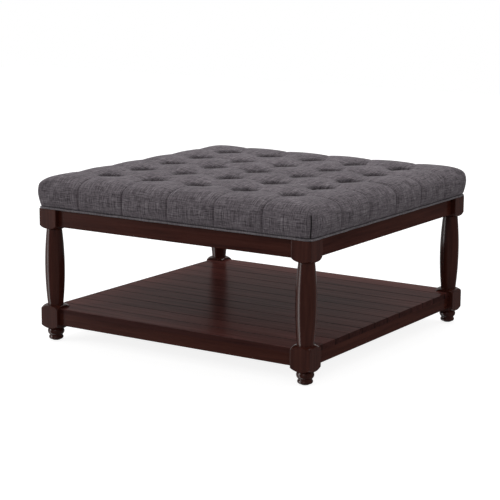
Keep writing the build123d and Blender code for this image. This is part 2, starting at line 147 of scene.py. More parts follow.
class Shader(Nodes):
    """The node tree of one finish."""

    noise_span: Span = (0.3, 0.7)

    def __init__(self, name: str) -> None:
        """Starts an empty material.

        Args:
            name: The material's name.
        """
        self.material = bpy.data.materials.new(name)
        self.material.use_nodes = True
        super().__init__(self.material.node_tree)
        self.tree.nodes.clear()

    def place(self, cell: Place, turn: float = 0.0) -> Socket:
        """The place on the piece, measured in cells.

        Args:
            cell: A cell's length along X, Y and Z, in metres.
            turn: How far the axes are turned about Z first, in radians.

        Returns:
            A vector socket.
        """
        where = self.node("ShaderNodeTexCoord").outputs["Object"]
        if turn:
            spun = {"Vector": where, "Rotation": (0.0, 0.0, turn)}
            where = self.node("ShaderNodeMapping", spun).outputs["Vector"]
        scaled = {"Vector": where, "Scale": tuple(1 / length for length in cell)}
        return self.node("ShaderNodeMapping", scaled).outputs["Vector"]

    def noise(self, where: Socket, detail: float = 2.0, rough: float = 0.5, bend: float = 0.0) -> Socket:
        """Soft noise around one half, with one blot to a cell and a number of finer layers."""
        settings = {"Vector": where, "Scale": 1.0, "Detail": detail, "Roughness": rough, "Distortion": bend}
        return self.node("ShaderNodeTexNoise", settings).outputs[0]

    def weighted(self, pairs: list[tuple[Socket, Socket | float]]) -> Socket:
        """The sum of several numbers, each times its weight.

        Args:
            pairs: Numbers and their weights.

        Returns:
            The total's socket.
        """
        total: Socket | float = 0.0
        for number, weight in pairs:
            total = self.sum("ADD", self.sum("MULTIPLY", number, weight), total)
        return total

    def ramp(self, factor: Socket, stops: list[tuple[float, Colour]]) -> Socket:
        """Colours along a factor.

        Args:
            factor: The factor socket.
            stops: Places from 0 to 1 and their colours.

        Returns:
            A colour socket.
        """
        made = self.node("ShaderNodeValToRGB", {"Fac": factor})
        elements = made.color_ramp.elements
        while len(elements) < len(stops):
            elements.new(0.5)
        for element, (position, colour) in zip(elements, stops):
            element.position = position
            element.color = (*colour, 1.0)
        return made.outputs["Color"]

    def levels(self, factor: Socket, low: float, high: float) -> Socket:
        """Spreads a factor of noise between two numbers, over the noise's usual span."""
        return self.spread(factor, self.noise_span, (low, high))

    def shaded(self, colour: Socket, factor: Socket) -> Socket:
        """A colour times a number."""
        made = self.node("ShaderNodeVectorMath", {0: colour, "Scale": factor}, operation="SCALE")
        return made.outputs["Vector"]

    def point(self) -> Sockets:
        """The X, Y and Z sockets of the place on the piece, in metres."""
        return self.parts(self.node("ShaderNodeTexCoord").outputs["Object"])

    def facing(self) -> list[Socket]:
        """How squarely the surface faces X, Y and Z: three numbers that add up to one."""
        normal = self.node("ShaderNodeTexCoord").outputs["Normal"]
        return [self.sum("MULTIPLY", part, part) for part in self.parts(normal)]

    def bump(self, height: Socket, depth: float, strength: float = 1.0) -> Socket:
        """Relief on the surface, where depth is in metres and belongs to a height of 1."""
        made = self.node("ShaderNodeBump", {"Height": height, "Distance": depth, "Strength": strength})
        return made.outputs["Normal"]

    def finish(self, inputs: dict[str, Any]) -> bpy.types.Material:
        """Ends the tree in a Principled shader.

        Args:
            inputs: Its inputs, as sockets or values.

        Returns:
            The material.
        """
        principled = self.node("ShaderNodeBsdfPrincipled", inputs)
        self.node("ShaderNodeOutputMaterial", {"Surface": principled.outputs[0]})
        return self.material


# Finishes


class Grain(Enum):
    """The direction that a piece's grain runs in."""

    ACROSS = 0
    DEEP = 1
    UPRIGHT = 2

    def cell(self, length: float, width: float) -> Place:
        """A cell's size along X, Y and Z, given its length with the grain and its width."""
        return tuple(length if axis == self.value else width for axis in range(3))


@dataclass(frozen=True)
class HeatherWeave:
    """A plain weave of uneven, heathered yarns.

    On a cover with tufts it carries painted shade in the tufts, down the corner seams and over the welt.
    """

    name: str
    deep: Colour = (0.050, 0.0410, 0.0475)
    body: Colour = (0.134, 0.1155, 0.1280)
    pale: Colour = (0.300, 0.2700, 0.2900)
    stops: tuple[float, float, float] = (0.37, 0.5, 0.65)
    yarn_pitch: float = 0.0015
    slub_length: float = 0.050
    slub_width: float = 0.0022
    slub_share: float = 0.55
    fleck_length: float = 0.013
    fleck_width: float = 0.0018
    patch_size: float = 0.11
    patch_tone: float = 0.07
    crossing_height: float = 0.3
    yarn_height: float = 1.6
    relief: float = 0.00045
    sheen: float = 0.07
    tufts: TuftGrid | None = None
    # Painted shade: in the tufts, down the corner seams and over the welt.
    painted_tuft_shade_span: Span = (0.018, 0.052)
    painted_tuft_shade_tone: float = 0.29
    painted_seam_shadow_tone: float = 0.25
    painted_seam_shadow_span: Span = (0.0014, 0.0036)
    seam_top: Span = (0.450, 0.455)
    painted_seam_shadow_inside: Span = (0.40, 0.41)
    foot_tone: float = 0.42
    foot_span: Span = (0.3925, 0.3970)

    def material(self) -> bpy.types.Material:
        """The weave: slubs and flecks along the yarns of each face, over a fine plain weave.

        Returns:
            The material.
        """
        shader = Shader(self.name)
        facing = shader.facing()
        yarn = self.yarns(shader, facing)
        colour = shader.ramp(yarn, list(zip(self.stops, (self.deep, self.body, self.pale))))
        patch = shader.noise(shader.place((self.patch_size,) * 3), detail=2.0)
        colour = shader.shaded(colour, shader.levels(patch, 1 - self.patch_tone, 1 + self.patch_tone))
        axes = shader.point()
        # Painted shade darkens the colour in the tufts, down the corner seams and over the welt.
        if self.tufts:
            for shade in (self.painted_tuft_shade, self.painted_seam_shadow, self.foot_shade):
                colour = shader.shaded(colour, shade(shader, axes))
        turns = 2 * math.pi / self.yarn_pitch
        waves = [shader.sum("SINE", shader.sum("MULTIPLY", part, turns)) for part in axes]
        crossings = []
        for axis in range(3):
            crossing = shader.sum("MULTIPLY", waves[(axis + 1) % 3], waves[(axis + 2) % 3])
            crossings.append((crossing, facing[axis]))
        crossed = shader.weighted(crossings)
        height = shader.weighted([(crossed, self.crossing_height), (yarn, self.yarn_height)])
        return shader.finish({
            "Base Color": colour,
            "Roughness": shader.levels(yarn, 0.95, 0.82),
            "Specular IOR Level": 0.10,
            "Sheen Weight": self.sheen,
            "Sheen Roughness": 0.5,
            "Sheen Tint": (0.75, 0.72, 0.76, 1.0),
            "Normal": shader.bump(height, depth=self.relief, strength=0.8),
        })

    def yarns(self, shader: Shader, facing: list[Socket]) -> Socket:
        """The tone of the yarns: three sets, each cut across one axis, so that they run on over bends.

        Args:
            shader: The finish's shader.
            facing: How squarely the surface faces X, Y and Z.

        Returns:
            A factor socket around one half.
        """
        slubs = []
        flecks = []
        for grain, part in zip(Grain, facing):
            seen = shader.sum("SUBTRACT", 0.5, shader.sum("MULTIPLY", part, 0.5))
            slub_cell = shader.place(grain.cell(self.slub_width, self.slub_length))
            fleck_cell = shader.place(grain.cell(self.fleck_width, self.fleck_length))
            slubs.append((shader.noise(slub_cell, detail=1.0), seen))
            flecks.append((shader.noise(fleck_cell, detail=1.0), seen))
        slub, fleck = shader.weighted(slubs), shader.weighted(flecks)
        return shader.weighted([(slub, self.slub_share), (fleck, 1 - self.slub_share)])

    def painted_tuft_shade(self, shader: Shader, axes: Sockets) -> Socket:
        """Painted shade deep in the tufts, darkest at each tuft's eye.

        Args:
            shader: The finish's shader.
            axes: The place's X, Y and Z sockets.

        Returns:
            A number socket, 1 outside the tufts.
        """
        pitch, outer = self.tufts.pitch, self.tufts.outer
        squares = []
        for axis in axes[:2]:
            line = shader.sum("SNAP", shader.sum("ADD", axis, pitch / 2), pitch)
            line = shader.sum("MAXIMUM", shader.sum("MINIMUM", line, outer), -outer)
            away = shader.sum("SUBTRACT", axis, line)
            squares.append(shader.sum("MULTIPLY", away, away))
        away = shader.sum("SQRT", shader.sum("ADD", *squares))
        return shader.spread(away, self.painted_tuft_shade_span, (self.painted_tuft_shade_tone, 1.0), smooth=True)

    def painted_seam_shadow(self, shader: Shader, axes: Sockets) -> Socket:
        """A painted shadow line down each sewn corner seam.

        Args:
            shader: The finish's shader.
            axes: The place's X, Y and Z sockets.

        Returns:
            A number socket, 1 away from the seams.
        """
        across, along = (shader.sum("ABSOLUTE", axis) for axis in axes[:2])
        away = shader.sum("ABSOLUTE", shader.sum("SUBTRACT", across, along))
        line = shader.spread(away, self.painted_seam_shadow_span, (self.painted_seam_shadow_tone, 1.0))
        above = shader.spread(axes["Z"], self.seam_top)
        inside = shader.spread(across, self.painted_seam_shadow_inside, (1.0, 0.0))
        return shader.sum("MAXIMUM", line, shader.sum("MAXIMUM", above, inside))

    def foot_shade(self, shader: Shader, axes: Sockets) -> Socket:
        """The shade at the cover's foot, close over the welt, as a number that is 1 above it."""
        return shader.spread(axes["Z"], self.foot_span, (self.foot_tone, 1.0))


@dataclass(frozen=True)
class StainedWood:
    """Hardwood under a dark brown stain and satin lacquer."""

    name: str
    grain: Grain
    deep: Colour = (0.033, 0.0080, 0.0056)
    body: Colour = (0.053, 0.0142, 0.0098)
    pale: Colour = (0.076, 0.0228, 0.0158)
    stops: tuple[float, float, float] = (0.34, 0.5, 0.68)
    streak: Span = (0.22, 0.009)
    figure: Span = (0.5, 0.045)
    pore: Span = (0.016, 0.0009)
    rough: float = 0.30
    rougher: float = 0.06
    smoother: float = 0.04
    coat: float = 0.0
    coat_rough: float = 0.14
    board_width: float = 0.0
    board_tones: Span = (0.9, 1.1)
    # Painted shade in the grooves between the boards, where some stain also gathers, and on their upright
    # edges and ends.
    groove_shade_tone: float = 0.35
    groove_shade_span: Span = (0.018, 0.036)
    outer_rows: Span = (5.6, 5.7)
    edge_shade_tone: float = 0.42
    edge_shade_span: Span = (0.3, 0.8)

    def material(self) -> bpy.types.Material:
        """The stain: drifting tone, long streaks and fine open pores under a clear lacquer.

        Returns:
            The material.
        """
        shader = Shader(self.name)
        cells = [shader.place(self.grain.cell(*size)) for size in (self.streak, self.figure, self.pore)]
        streak = shader.noise(cells[0], detail=3.0, rough=0.55, bend=0.4)
        figure = shader.noise(cells[1], detail=2.0, rough=0.5, bend=1.2)
        pore = shader.noise(cells[2], detail=1.0)
        tone = shader.weighted([(streak, 0.5), (figure, 0.35), (pore, 0.15)])
        colour = shader.ramp(tone, list(zip(self.stops, (self.deep, self.body, self.pale))))
        # Each board's random tone, with painted shade in its grooves and on its upright edges and ends.
        if self.board_width:
            colour = shader.shaded(colour, self.board_tone(shader))
        height = shader.weighted([(pore, 0.7), (streak, 0.6)])
        return shader.finish({
            "Base Color": colour,
            "Roughness": shader.levels(tone, self.rough + self.rougher, self.rough - self.smoother),
            "Specular IOR Level": 0.0,
            "Coat Weight": self.coat,
            "Coat Roughness": self.coat_rough,
            "Normal": shader.bump(height, depth=0.00025, strength=0.35),
        })

    def board_tone(self, shader: Shader) -> Socket:
        """A random tone for each board, times painted shade in the grooves between them, where some stain
        also gathers, and on their upright edges and ends.

        Args:
            shader: The finish's shader.

        Returns:
            A number socket around one.
        """
        row = shader.parts(shader.place((1.0, self.board_width, 1.0)))["Y"]
        number = shader.sum("FLOOR", row)
        chance = shader.node("ShaderNodeTexWhiteNoise", {"W": number}, noise_dimensions="1D")
        # Painted shade in the grooves, partly stain gathered there, and on the upright edges and ends.
        groove = shader.spread(shader.sum("PINGPONG", row, 0.5), self.groove_shade_span, (self.groove_shade_tone, 1.0))
        outer = shader.spread(shader.sum("ABSOLUTE", row), self.outer_rows)
        end = shader.spread(shader.facing()[2], self.edge_shade_span, (self.edge_shade_tone, 1.0))
        dark = shader.sum("MULTIPLY", shader.sum("MAXIMUM", groove, outer), end)
        return shader.sum("MULTIPLY", dark, shader.levels(chance.outputs["Value"], *self.board_tones))


@dataclass(frozen=True)
class BareWood:
    """Unfinished softwood or hardwood, as on hidden braces and dowels."""

    name: str
    grain: Grain
    deep: Colour = (0.30, 0.17, 0.080)
    body: Colour = (0.46, 0.29, 0.15)
    pale: Colour = (0.62, 0.43, 0.25)
    stops: tuple[float, float, float] = (0.35, 0.5, 0.66)
    turn: float = 0.0

    def material(self) -> bpy.types.Material:
        """The wood: growth lines and pores, dry and matt.

        Returns:
            The material.
        """
        shader = Shader(self.name)
        cell = self.grain.cell
        line = shader.noise(shader.place(cell(0.3, 0.004), self.turn), detail=2.0, rough=0.6, bend=0.6)
        pore = shader.noise(shader.place(cell(0.012, 0.0008), self.turn), detail=1.0)
        tone = shader.weighted([(line, 0.75), (pore, 0.25)])
        return shader.finish({
            "Base Color": shader.ramp(tone, list(zip(self.stops, (self.deep, self.body, self.pale)))),
            "Roughness": shader.levels(tone, 0.8, 0.68),
            "Specular IOR Level": 0.25,
            "Normal": shader.bump(tone, depth=0.0003, strength=0.4),
        })


@dataclass(frozen=True)
class Plywood:
    """Plywood: grained faces, and edges in layers."""

    name: str
    ply: float = 0.0026
    dark: Colour = (0.25, 0.14, 0.07)
    light: Colour = (0.52, 0.36, 0.20)

    def material(self) -> bpy.types.Material:
        """The faces' grain, and on the edges a tone for each ply.

        Returns:
            The material.
        """
        shader = Shader(self.name)
        grain = shader.noise(shader.place(Grain.ACROSS.cell(0.25, 0.008)), detail=3.0, rough=0.6, bend=0.8)
        wave = shader.sum("SINE", shader.sum("MULTIPLY", shader.point()["Z"], math.pi / self.ply))
        layer = shader.sum("ADD", shader.sum("MULTIPLY", wave, 0.18), 0.5)
        flat = shader.facing()[2]
        edge = shader.sum("SUBTRACT", 1.0, flat)
        tone = shader.weighted([(grain, flat), (layer, edge)])
        return shader.finish({
            "Base Color": shader.ramp(tone, [(0.32, self.dark), (0.62, self.light)]),
            "Roughness": shader.levels(grain, 0.78, 0.66),
            "Specular IOR Level": 0.25,
            "Normal": shader.bump(tone, depth=0.0003, strength=0.4),
        })


@dataclass(frozen=True)
class ZincSteel:
    """Bright zinc plate with a faint spangle."""

    name: str
    colour: Colour = (0.56, 0.57, 0.57)

    def material(self) -> bpy.types.Material:
        """The plate: uneven gloss and light scratches.

        Returns:
            The material.
        """
        shader = Shader(self.name)
        spangle = shader.noise(shader.place((0.004, 0.004, 0.004)), detail=3.0)
        scratch = shader.noise(shader.place((0.0004, 0.004, 0.0004)), detail=1.0)
        shade = shader.levels(spangle, 0.86, 1.08)
        return shader.finish({
            "Base Color": shader.ramp(shade, [(0.0, (0.0, 0.0, 0.0)), (1.0, self.colour)]),
            "Metallic": 1.0,
            "Roughness": shader.levels(spangle, 0.28, 0.42),
            "Normal": shader.bump(scratch, depth=0.0001, strength=0.3),
        })


@dataclass(frozen=True)
class Plain:
    """A moulded, foamed or spun stuff with one tone and a fine surface."""

    name: str
    colour: Colour
    shade: float
    rough: float
    shine: float
    blot: float
    pit: float
    depth: float

    def material(self) -> bpy.types.Material:
        """The stuff: slow tone drift and a fine pitted surface.

        Returns:
            The material.
        """
        shader = Shader(self.name)
        drift = shader.noise(shader.place((self.blot,) * 3), detail=3.0)
        pits = shader.noise(shader.place((self.pit,) * 3), detail=2.0)
        tone = shader.weighted([(drift, 0.6), (pits, 0.4)])
        worn = tuple(channel * self.shade for channel in self.colour)
        return shader.finish({
            "Base Color": shader.ramp(tone, [(0.36, worn), (0.62, self.colour)]),
            "Roughness": shader.levels(tone, self.rough + 0.05, self.rough - 0.05),
            "Specular IOR Level": self.shine,
            "Normal": shader.bump(pits, depth=self.depth, strength=0.6),
        })


# Mesh helpers


def new_piece(name: str, points: Points, faces: Faces) -> bpy.types.Object:
    """Makes a smooth-shaded piece from points and faces.

    Args:
        name: The piece's name.
        points: One row per point, in metres.
        faces: The faces' point numbers.

    Returns:
        The new object.
    """
    mesh = bpy.data.meshes.new(name)
    mesh.from_pydata(points.tolist(), [], faces)
    mesh.update()
    mesh.shade_smooth()
    piece = bpy.data.objects.new(name, mesh)
    bpy.context.scene.collection.objects.link(piece)
    return piece


def settle(piece: bpy.types.Object) -> None:
    """Applies a piece's modifiers to its mesh.

    Args:
        piece: The piece.
    """
    graph = bpy.context.evaluated_depsgraph_get()
    solved = bpy.data.meshes.new_from_object(piece.evaluated_get(graph))
    piece.modifiers.clear()
    old = piece.data
    piece.data = solved
    solved.name = piece.name
    bpy.data.meshes.remove(old)


def round_off(piece: bpy.types.Object, levels: int = 1) -> None:
    """Subdivides a piece smoothly and applies it.

    Args:
        piece: The piece.
        levels: How many times.
    """
    rounding = piece.modifiers.new("rounding", "SUBSURF")
    rounding.levels = levels
    rounding.render_levels = levels
    settle(piece)
    piece.data.shade_smooth()


def close_up(piece: bpy.types.Object) -> None:
    """Closes a piece's open border with one flat face.

    Args:
        piece: The piece.
    """
    mesh = bmesh.new()
    mesh.from_mesh(piece.data)
    bmesh.ops.holes_fill(mesh, edges=[edge for edge in mesh.edges if edge.is_boundary], sides=0)
    mesh.to_mesh(piece.data)
    mesh.free()


def put_on(piece: bpy.types.Object, material: bpy.types.Material) -> None:
    """Gives every material slot of a piece one finish.

    Args:
        piece: The piece.
        material: The finish.
    """
    if not piece.material_slots:
        piece.data.materials.append(material)
    for held in piece.material_slots:
        held.material = material


def dress_nodes(finishes: dict[str, bpy.types.Material]) -> None:
    """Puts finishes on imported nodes, which keep their shapes.

    Args:
        finishes: The finish of every node whose name starts with the key.
    """
    for name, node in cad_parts.items():
        for start, finish in finishes.items():
            if name.startswith(start):
                put_on(node, finish)
                log.info("finished %s", name)
                break


def introduce(piece: bpy.types.Object, slot: str, *nodes: str) -> None:
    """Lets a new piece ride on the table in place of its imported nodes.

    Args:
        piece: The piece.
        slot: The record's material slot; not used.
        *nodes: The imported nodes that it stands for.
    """
    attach(piece, "root")
    if nodes:
        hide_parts(*nodes)
    log.info("built %s: %d faces", piece.name, len(piece.data.polygons))


def eased(share: Points) -> Points:
    """A share from 0 to 1 that starts and ends gently."""
    return share * share * (3 - 2 * share)


def resampled(wanted: Points, known: Points, rows: Points) -> Points:
    """Reads rows of X, Y and Z at wanted places, between the places where they are known."""
    return np.stack([np.interp(wanted, known, rows[:, axis]) for axis in range(3)], -1)


def tube(path: Points, radii: Points, sides: int, closed: bool) -> tuple[Points, Faces]:
    """A round tube along points, closed in a ring or capped at both ends.

    Args:
        path: The points of its line.
        radii: Its radius at each point.
        sides: How many sides it has.
        closed: Whether it ends where it starts.

    Returns:
        The points and the faces.
    """
    count = len(path)
    ahead = np.roll(path, -1, 0) - np.roll(path, 1, 0)
    if not closed:
        ahead[0] = path[1] - path[0]
        ahead[-1] = path[-1] - path[-2]
    ahead /= np.linalg.norm(ahead, axis=1)[:, None]
    guide = np.where(np.abs(ahead[:, 2:3]) > 0.9, [[1.0, 0.0, 0.0]], [[0.0, 0.0, 1.0]])
    across = np.cross(ahead, guide)
    across /= np.linalg.norm(across, axis=1)[:, None]
    over = np.cross(across, ahead)
    angles = np.arange(sides) * 2 * math.pi / sides
    spokes = across[:, None] * np.cos(angles)[None, :, None] + over[:, None] * np.sin(angles)[None, :, None]
    points = (path[:, None] + spokes * radii[:, None, None]).reshape(-1, 3)
    faces = []
    for ring in range(count if closed else count - 1):
        here, there = ring * sides, (ring + 1) % count * sides
        for side in range(sides):
            near = (side + 1) % sides
            faces.append([here + side, there + side, there + near, here + near])
    if not closed:
        faces.append(list(range(sides)))
        faces.append([(count - 1) * sides + side for side in reversed(range(sides))])
    return points, faces


# Box lids: a square top, rings down its sides and a closed underside


@dataclass
class Lid:
    """A form like a box lid, on a square grid of lines."""

    lines: Points
    straight: float

    def around(
        self, place: Points, limit: Points | float, half: Points, radius: Points
    ) -> tuple[Points, Points, Points]:
        """Where a place on a square's side comes on a square with round corners.

        Args:
            place: Places along the side.
            limit: The furthest such place, at the corner.
            half: Half the width of the round-cornered square.
            radius: Its corner radius.

        Returns:
            The place along, the distance out, and the share of the way to the corner.
        """
        nothing = 1e-9
        reach = np.abs(place)
        share = np.clip((reach - self.straight) / np.maximum(limit - self.straight, nothing), 0, 1)
        flat = np.maximum(half - radius - self.straight, 0)
        path = share * (flat + radius * math.pi / 4)
        angle = np.clip((path - flat) / np.maximum(radius, nothing), 0, math.pi / 4)
        inside = reach <= self.straight
        along = np.where(inside, reach, self.straight + np.minimum(path, flat) + radius * np.sin(angle))
        out = np.where(inside, half, half - radius * (1 - np.cos(angle)))
        return np.sign(place) * along, out, np.where(inside, 0, share)

    def loop(self) -> tuple[list[int], Points, Points]:
        """The border of the top.

        Returns:
            Its point numbers, the side each is on and its place along that side.
        """
        count = len(self.lines)
        last = count - 1
        steps = range(last)
        numbers = list(steps)
        numbers += [i * count + last for i in steps]
        numbers += [last * count + last - i for i in steps]
        numbers += [(last - i) * count for i in steps]
        return numbers, np.repeat(np.arange(4), last), np.tile(self.lines[:-1], 4)

    def plan(self, along: Points, out: Points) -> tuple[Points, Points]:
        """Turns places round the border, measured side by side, into X and Y.

        Args:
            along: Places along the front, right, back and left side, anticlockwise from above.
            out: How far out they are.

        Returns:
            X and Y.
        """
        sides = self.loop()[1]
        turned = [(along, -out), (out, along), (-along, out), (-out, -along)]
        return np.choose(sides, [x for x, _ in turned]), np.choose(sides, [y for _, y in turned])

    def ring(self, limit: float, half: float, height: float, radius: float) -> Points:
        """A level ring round the border: a square with round corners.

        Args:
            limit: The border's furthest place along a side.
            half: Half the ring's width.
            height: Its height.
            radius: Its corner radius.

        Returns:
            Its points.
        """
        places = self.loop()[2]
        level = np.ones(len(places))
        along, out, _ = self.around(places, limit, half * level, radius * level)
        return np.stack([*self.plan(along, out), height * level], -1)

    def piece(self, name: str, top: Points, rings: list[Points]) -> bpy.types.Object:
        """Makes a piece, still open inside its last ring, from its top grid and its rings.

        Args:
            name: The piece's name.
            top: The top's points, by Y line and then X line.
            rings: The points of each ring, from the top's border outwards and under.

        Returns:
            The new object.
        """
        count = len(self.lines)
        faces = []
        for row in range(count - 1):
            for column in range(count - 1):
                first = row * count + column
                faces.append([first, first + 1, first + count + 1, first + count])
        before = self.loop()[0]
        around = len(before)
        for number in range(len(rings)):
            start = count * count + number * around
            after = list(range(start, start + around))
            for step in range(around):
                near = (step + 1) % around
                faces.append([before[step], after[step], after[near], before[near]])
            before = after
        return new_piece(name, np.concatenate([top.reshape(-1, 3), *rings]), faces)


# Sub-assemblies


@dataclass(frozen=True)
class EdgeRing:
    """One ring of points over the seat's rounded edge, or down its side where it has a height."""

    half: float
    radius: float
    pleat: float
    swell: float
    arch: float = 0.0
    out: float = 1.0
    rise: float = 0.0
    height: float | None = None


@dataclass
class TuftedSeat:
    """The tufted cover with its fibre filling, hollow for the foam and the deck."""

    crest: float = 0.4800
    crown_fall: float = 0.0010
    crown_half: float = 0.362
    crown_power: float = 3.0
    widest_half: float = 0.4592
    widest_height: float = 0.434
    widest_radius: float = 0.016
    foot_half: float = 0.4467
    foot_radius: float = 0.0107
    foot_height: float = 0.386
    tuck_half: float = 0.4528
    tuck_radius: float = 0.013
    tuck_height: float = 0.3945
    tuck_power: float = 1.6
    lid_half: float = 0.3990
    lid_radius: float = 0.028
    straight_half: float = 0.3230
    edge_rings: int = 9
    side_rings: int = 5
    tufts: TuftGrid = TuftGrid()
    cell: float = 0.0095
    pleat_steps: tuple[float, ...] = (0.0007, 0.0018)
    corner_steps: tuple[float, ...] = (0.0005, 0.0012, 0.0026)
    back_fall: float = 0.002
    back_start: float = 0.2
    valley: float = 0.0045
    valley_softness: float = 0.20
    valley_fade: float = 0.8
    tuft_depth: float = 0.0230
    tuft_eye_depth: float = 0.0035
    tuft_eye: float = 0.006
    tuft_reach: float = 0.040
    tuft_floor: float = 0.018
    fold_depth: float = 0.0022
    fold_width: float = 0.0030
    fold_limit: float = 1.2
    fold_start: float = 0.005
    pleat_depth: float = 0.0060
    pleat_steep: float = 0.0010
    pleat_slack: float = 0.0034
    pleat_soft: float = 0.013
    rim_start: float = 0.008
    rim_reach: float = 0.045
    rim_pleat: float = 0.4
    rim_swell: float = 0.2
    side_swell: float = 0.4
    foot_pleat: float = 0.55
    seam_depth: float = 0.0140
    seam_width: float = 0.0016
    seam_top: float = 0.456
    seam_fade: float = 0.008
    unevenness: float = 0.0012
    seed: int = 11
    lip_half: float = 0.4187
    lip_top: float = 0.388
    hollow_half: float = 0.4444
    hollow_radius: float = 0.0087
    hollow_top: float = 0.4462
    pressure: float = 4.0
    frames: int = 20
    give: float = 0.0045

    def coarse_lines(self) -> Points:
        """The even grid lines, which pass through every tuft."""
        half = round(self.lid_half / self.cell)
        return np.arange(-half, half + 1) * self.cell

    def fine_lines(self) -> Points:
        """The even lines with more of them beside each pleat and each corner.

        Returns:
            The lines' places, in order.
        """
        lines = set(np.round(self.coarse_lines(), 6).tolist())
        halfway = [(step + 0.5) * self.cell for step in range(4)]
        for middle in self.tufts.lines():
            for step in (*self.pleat_steps, *halfway):
                lines |= {round(middle - step, 6), round(middle + step, 6)}
        for step in self.corner_steps:
            lines |= {round(step - self.lid_half, 6), round(self.lid_half - step, 6)}
        return np.array(sorted(lines))

    def line_valley(self, place: Points) -> Points:
        """How far a place lies in the valley along a line of tufts, from 0 to 1.

        Args:
            place: Distances across the lines.

        Returns:
            1 on a line, 0 midway between two and beyond the outer ones.
        """
        pitch, rows, soft = self.tufts.pitch, self.tufts.rows, self.valley_softness
        rise = np.abs(np.sin(math.pi * (place / pitch + (rows - 1) / 2)))
        crown = (np.sqrt(rise**2 + soft**2) - soft) / (math.sqrt(1 + soft**2) - soft)
        return np.where(np.abs(place) < pitch * rows / 2, 1 - crown, 0)

    def tuft_dip(self, x: Points, y: Points) -> Points:
        """How deep the surface dips round the nearest tuft.

        Args:
            x: Places along X.
            y: Places along Y.

        Returns:
            Depths, with a fold along each line of tufts.
        """
        across, along = self.tufts.away(x), self.tufts.away(y)
        away = np.sqrt(across**2 + along**2)
        near = np.clip(1 - away / self.tuft_reach, 0, 1)
        wall = np.clip((self.tuft_reach - away) / (self.tuft_reach - self.tuft_floor), 0, 1)
        funnel = self.tuft_depth * eased(wall) + self.tuft_eye_depth * np.exp(-away / self.tuft_eye)
        fold = np.exp(-np.abs(across) / self.fold_width) + np.exp(-np.abs(along) / self.fold_width)
        fade = near * (1 - np.exp(-away / self.fold_start))
        return funnel + self.fold_depth * np.minimum(fold, self.fold_limit) * fade

    def pleat(self, across: Points, strength: Points | float) -> Points:
        """A sewn-down pleat: one side steep, the other folded over softly.

        Args:
            across: Distances across the pleat.
            strength: How deep it is at each place, from 0 to 1.

        Returns:
            Depths.
        """
        steep = np.exp(-np.abs(across) / np.where(across > 0, self.pleat_slack, self.pleat_steep))
        soft = np.exp(-((across / self.pleat_soft) ** 2))
        return self.pleat_depth * strength * (0.8 * steep + 0.2 * strength * soft)

    def pillow_bumps(self, x: Points, y: Points) -> Points:
        """A slightly different height for each pillow, the same at every run.

        Args:
            x: Places along X.
            y: Places along Y.

        Returns:
            Heights.
        """
        pillows = self.tufts.rows + 1
        chance = np.random.default_rng(self.seed).uniform(-1, 1, (pillows, pillows))
        column, row = (
            np.clip((place + self.tufts.pitch * pillows / 2) / self.tufts.pitch, 0, pillows - 0.001)
            for place in (x, y)
        )
        swell = np.sin(math.pi * column) ** 2 * np.sin(math.pi * row) ** 2
        return self.unevenness * chance[row.astype(int), column.astype(int)] * swell

    def arch(self, half: Points) -> Points:
        """How high the rounded edge stands at a distance out, from 1 to 0."""
        out = np.clip((half - self.crown_half) / (self.widest_half - self.crown_half), 0, 1)
        return (1 - out**self.crown_power) ** (1 / self.crown_power)

    def edge_height(self, x: Points, y: Points, arch: Points | float) -> Points:
        """The height of the crowned seat before its tufts, a little lower at its right back.

        Args:
            x: Places along X.
            y: Places along Y.
            arch: How high the rounded edge stands there, from 1 to 0.

        Returns:
            Heights.
        """
        crown = self.crown_fall * np.minimum((x**2 + y**2) / self.crown_half**2, 1)
        slant = self.back_fall * np.clip((x + y) / (2 * self.crown_half) + self.back_start, 0, 1)
        return self.widest_height + (self.crest - crown - slant - self.widest_height) * arch

    def top(self, lines: Points) -> Points:
        """The top's points.

        Args:
            lines: The grid lines.

        Returns:
            Points by Y line and then X line.
        """
        grid_x, grid_y = np.meshgrid(lines, lines)
        lid = Lid(lines, self.straight_half)
        level = np.maximum(np.abs(grid_x), np.abs(grid_y))
        out_share = np.clip((level - self.straight_half) / (self.lid_half - self.straight_half), 0, 1)
        deep = np.abs(grid_y) >= np.abs(grid_x)
        place = np.where(deep, grid_x, grid_y)
        sign = np.where(deep, np.sign(grid_y), np.sign(grid_x))
        along, out, _ = lid.around(place, level, level, self.lid_radius * out_share)
        x = np.where(deep, along, sign * out)
        y = np.where(deep, sign * out, along)
        height = self.edge_height(x, y, self.arch(level)) - self.tuft_dip(x, y)
        for across, past in ((x, self.past_tufts(np.abs(y))), (y, self.past_tufts(np.abs(x)))):
            height -= self.valley * self.line_valley(across) * (1 - self.valley_fade * past)
            height -= self.pleat(self.tufts.away(across), self.rim_pleat * past)
        height += self.pillow_bumps(x, y)
        return np.stack([x, y, height], -1)

    def past_tufts(self, out: Points) -> Points:
        """How far a place is past the outer tufts, from 0 to 1 half a pillow on."""
        return eased(np.clip((out - self.tufts.outer - self.rim_start) / self.rim_reach, 0, 1))

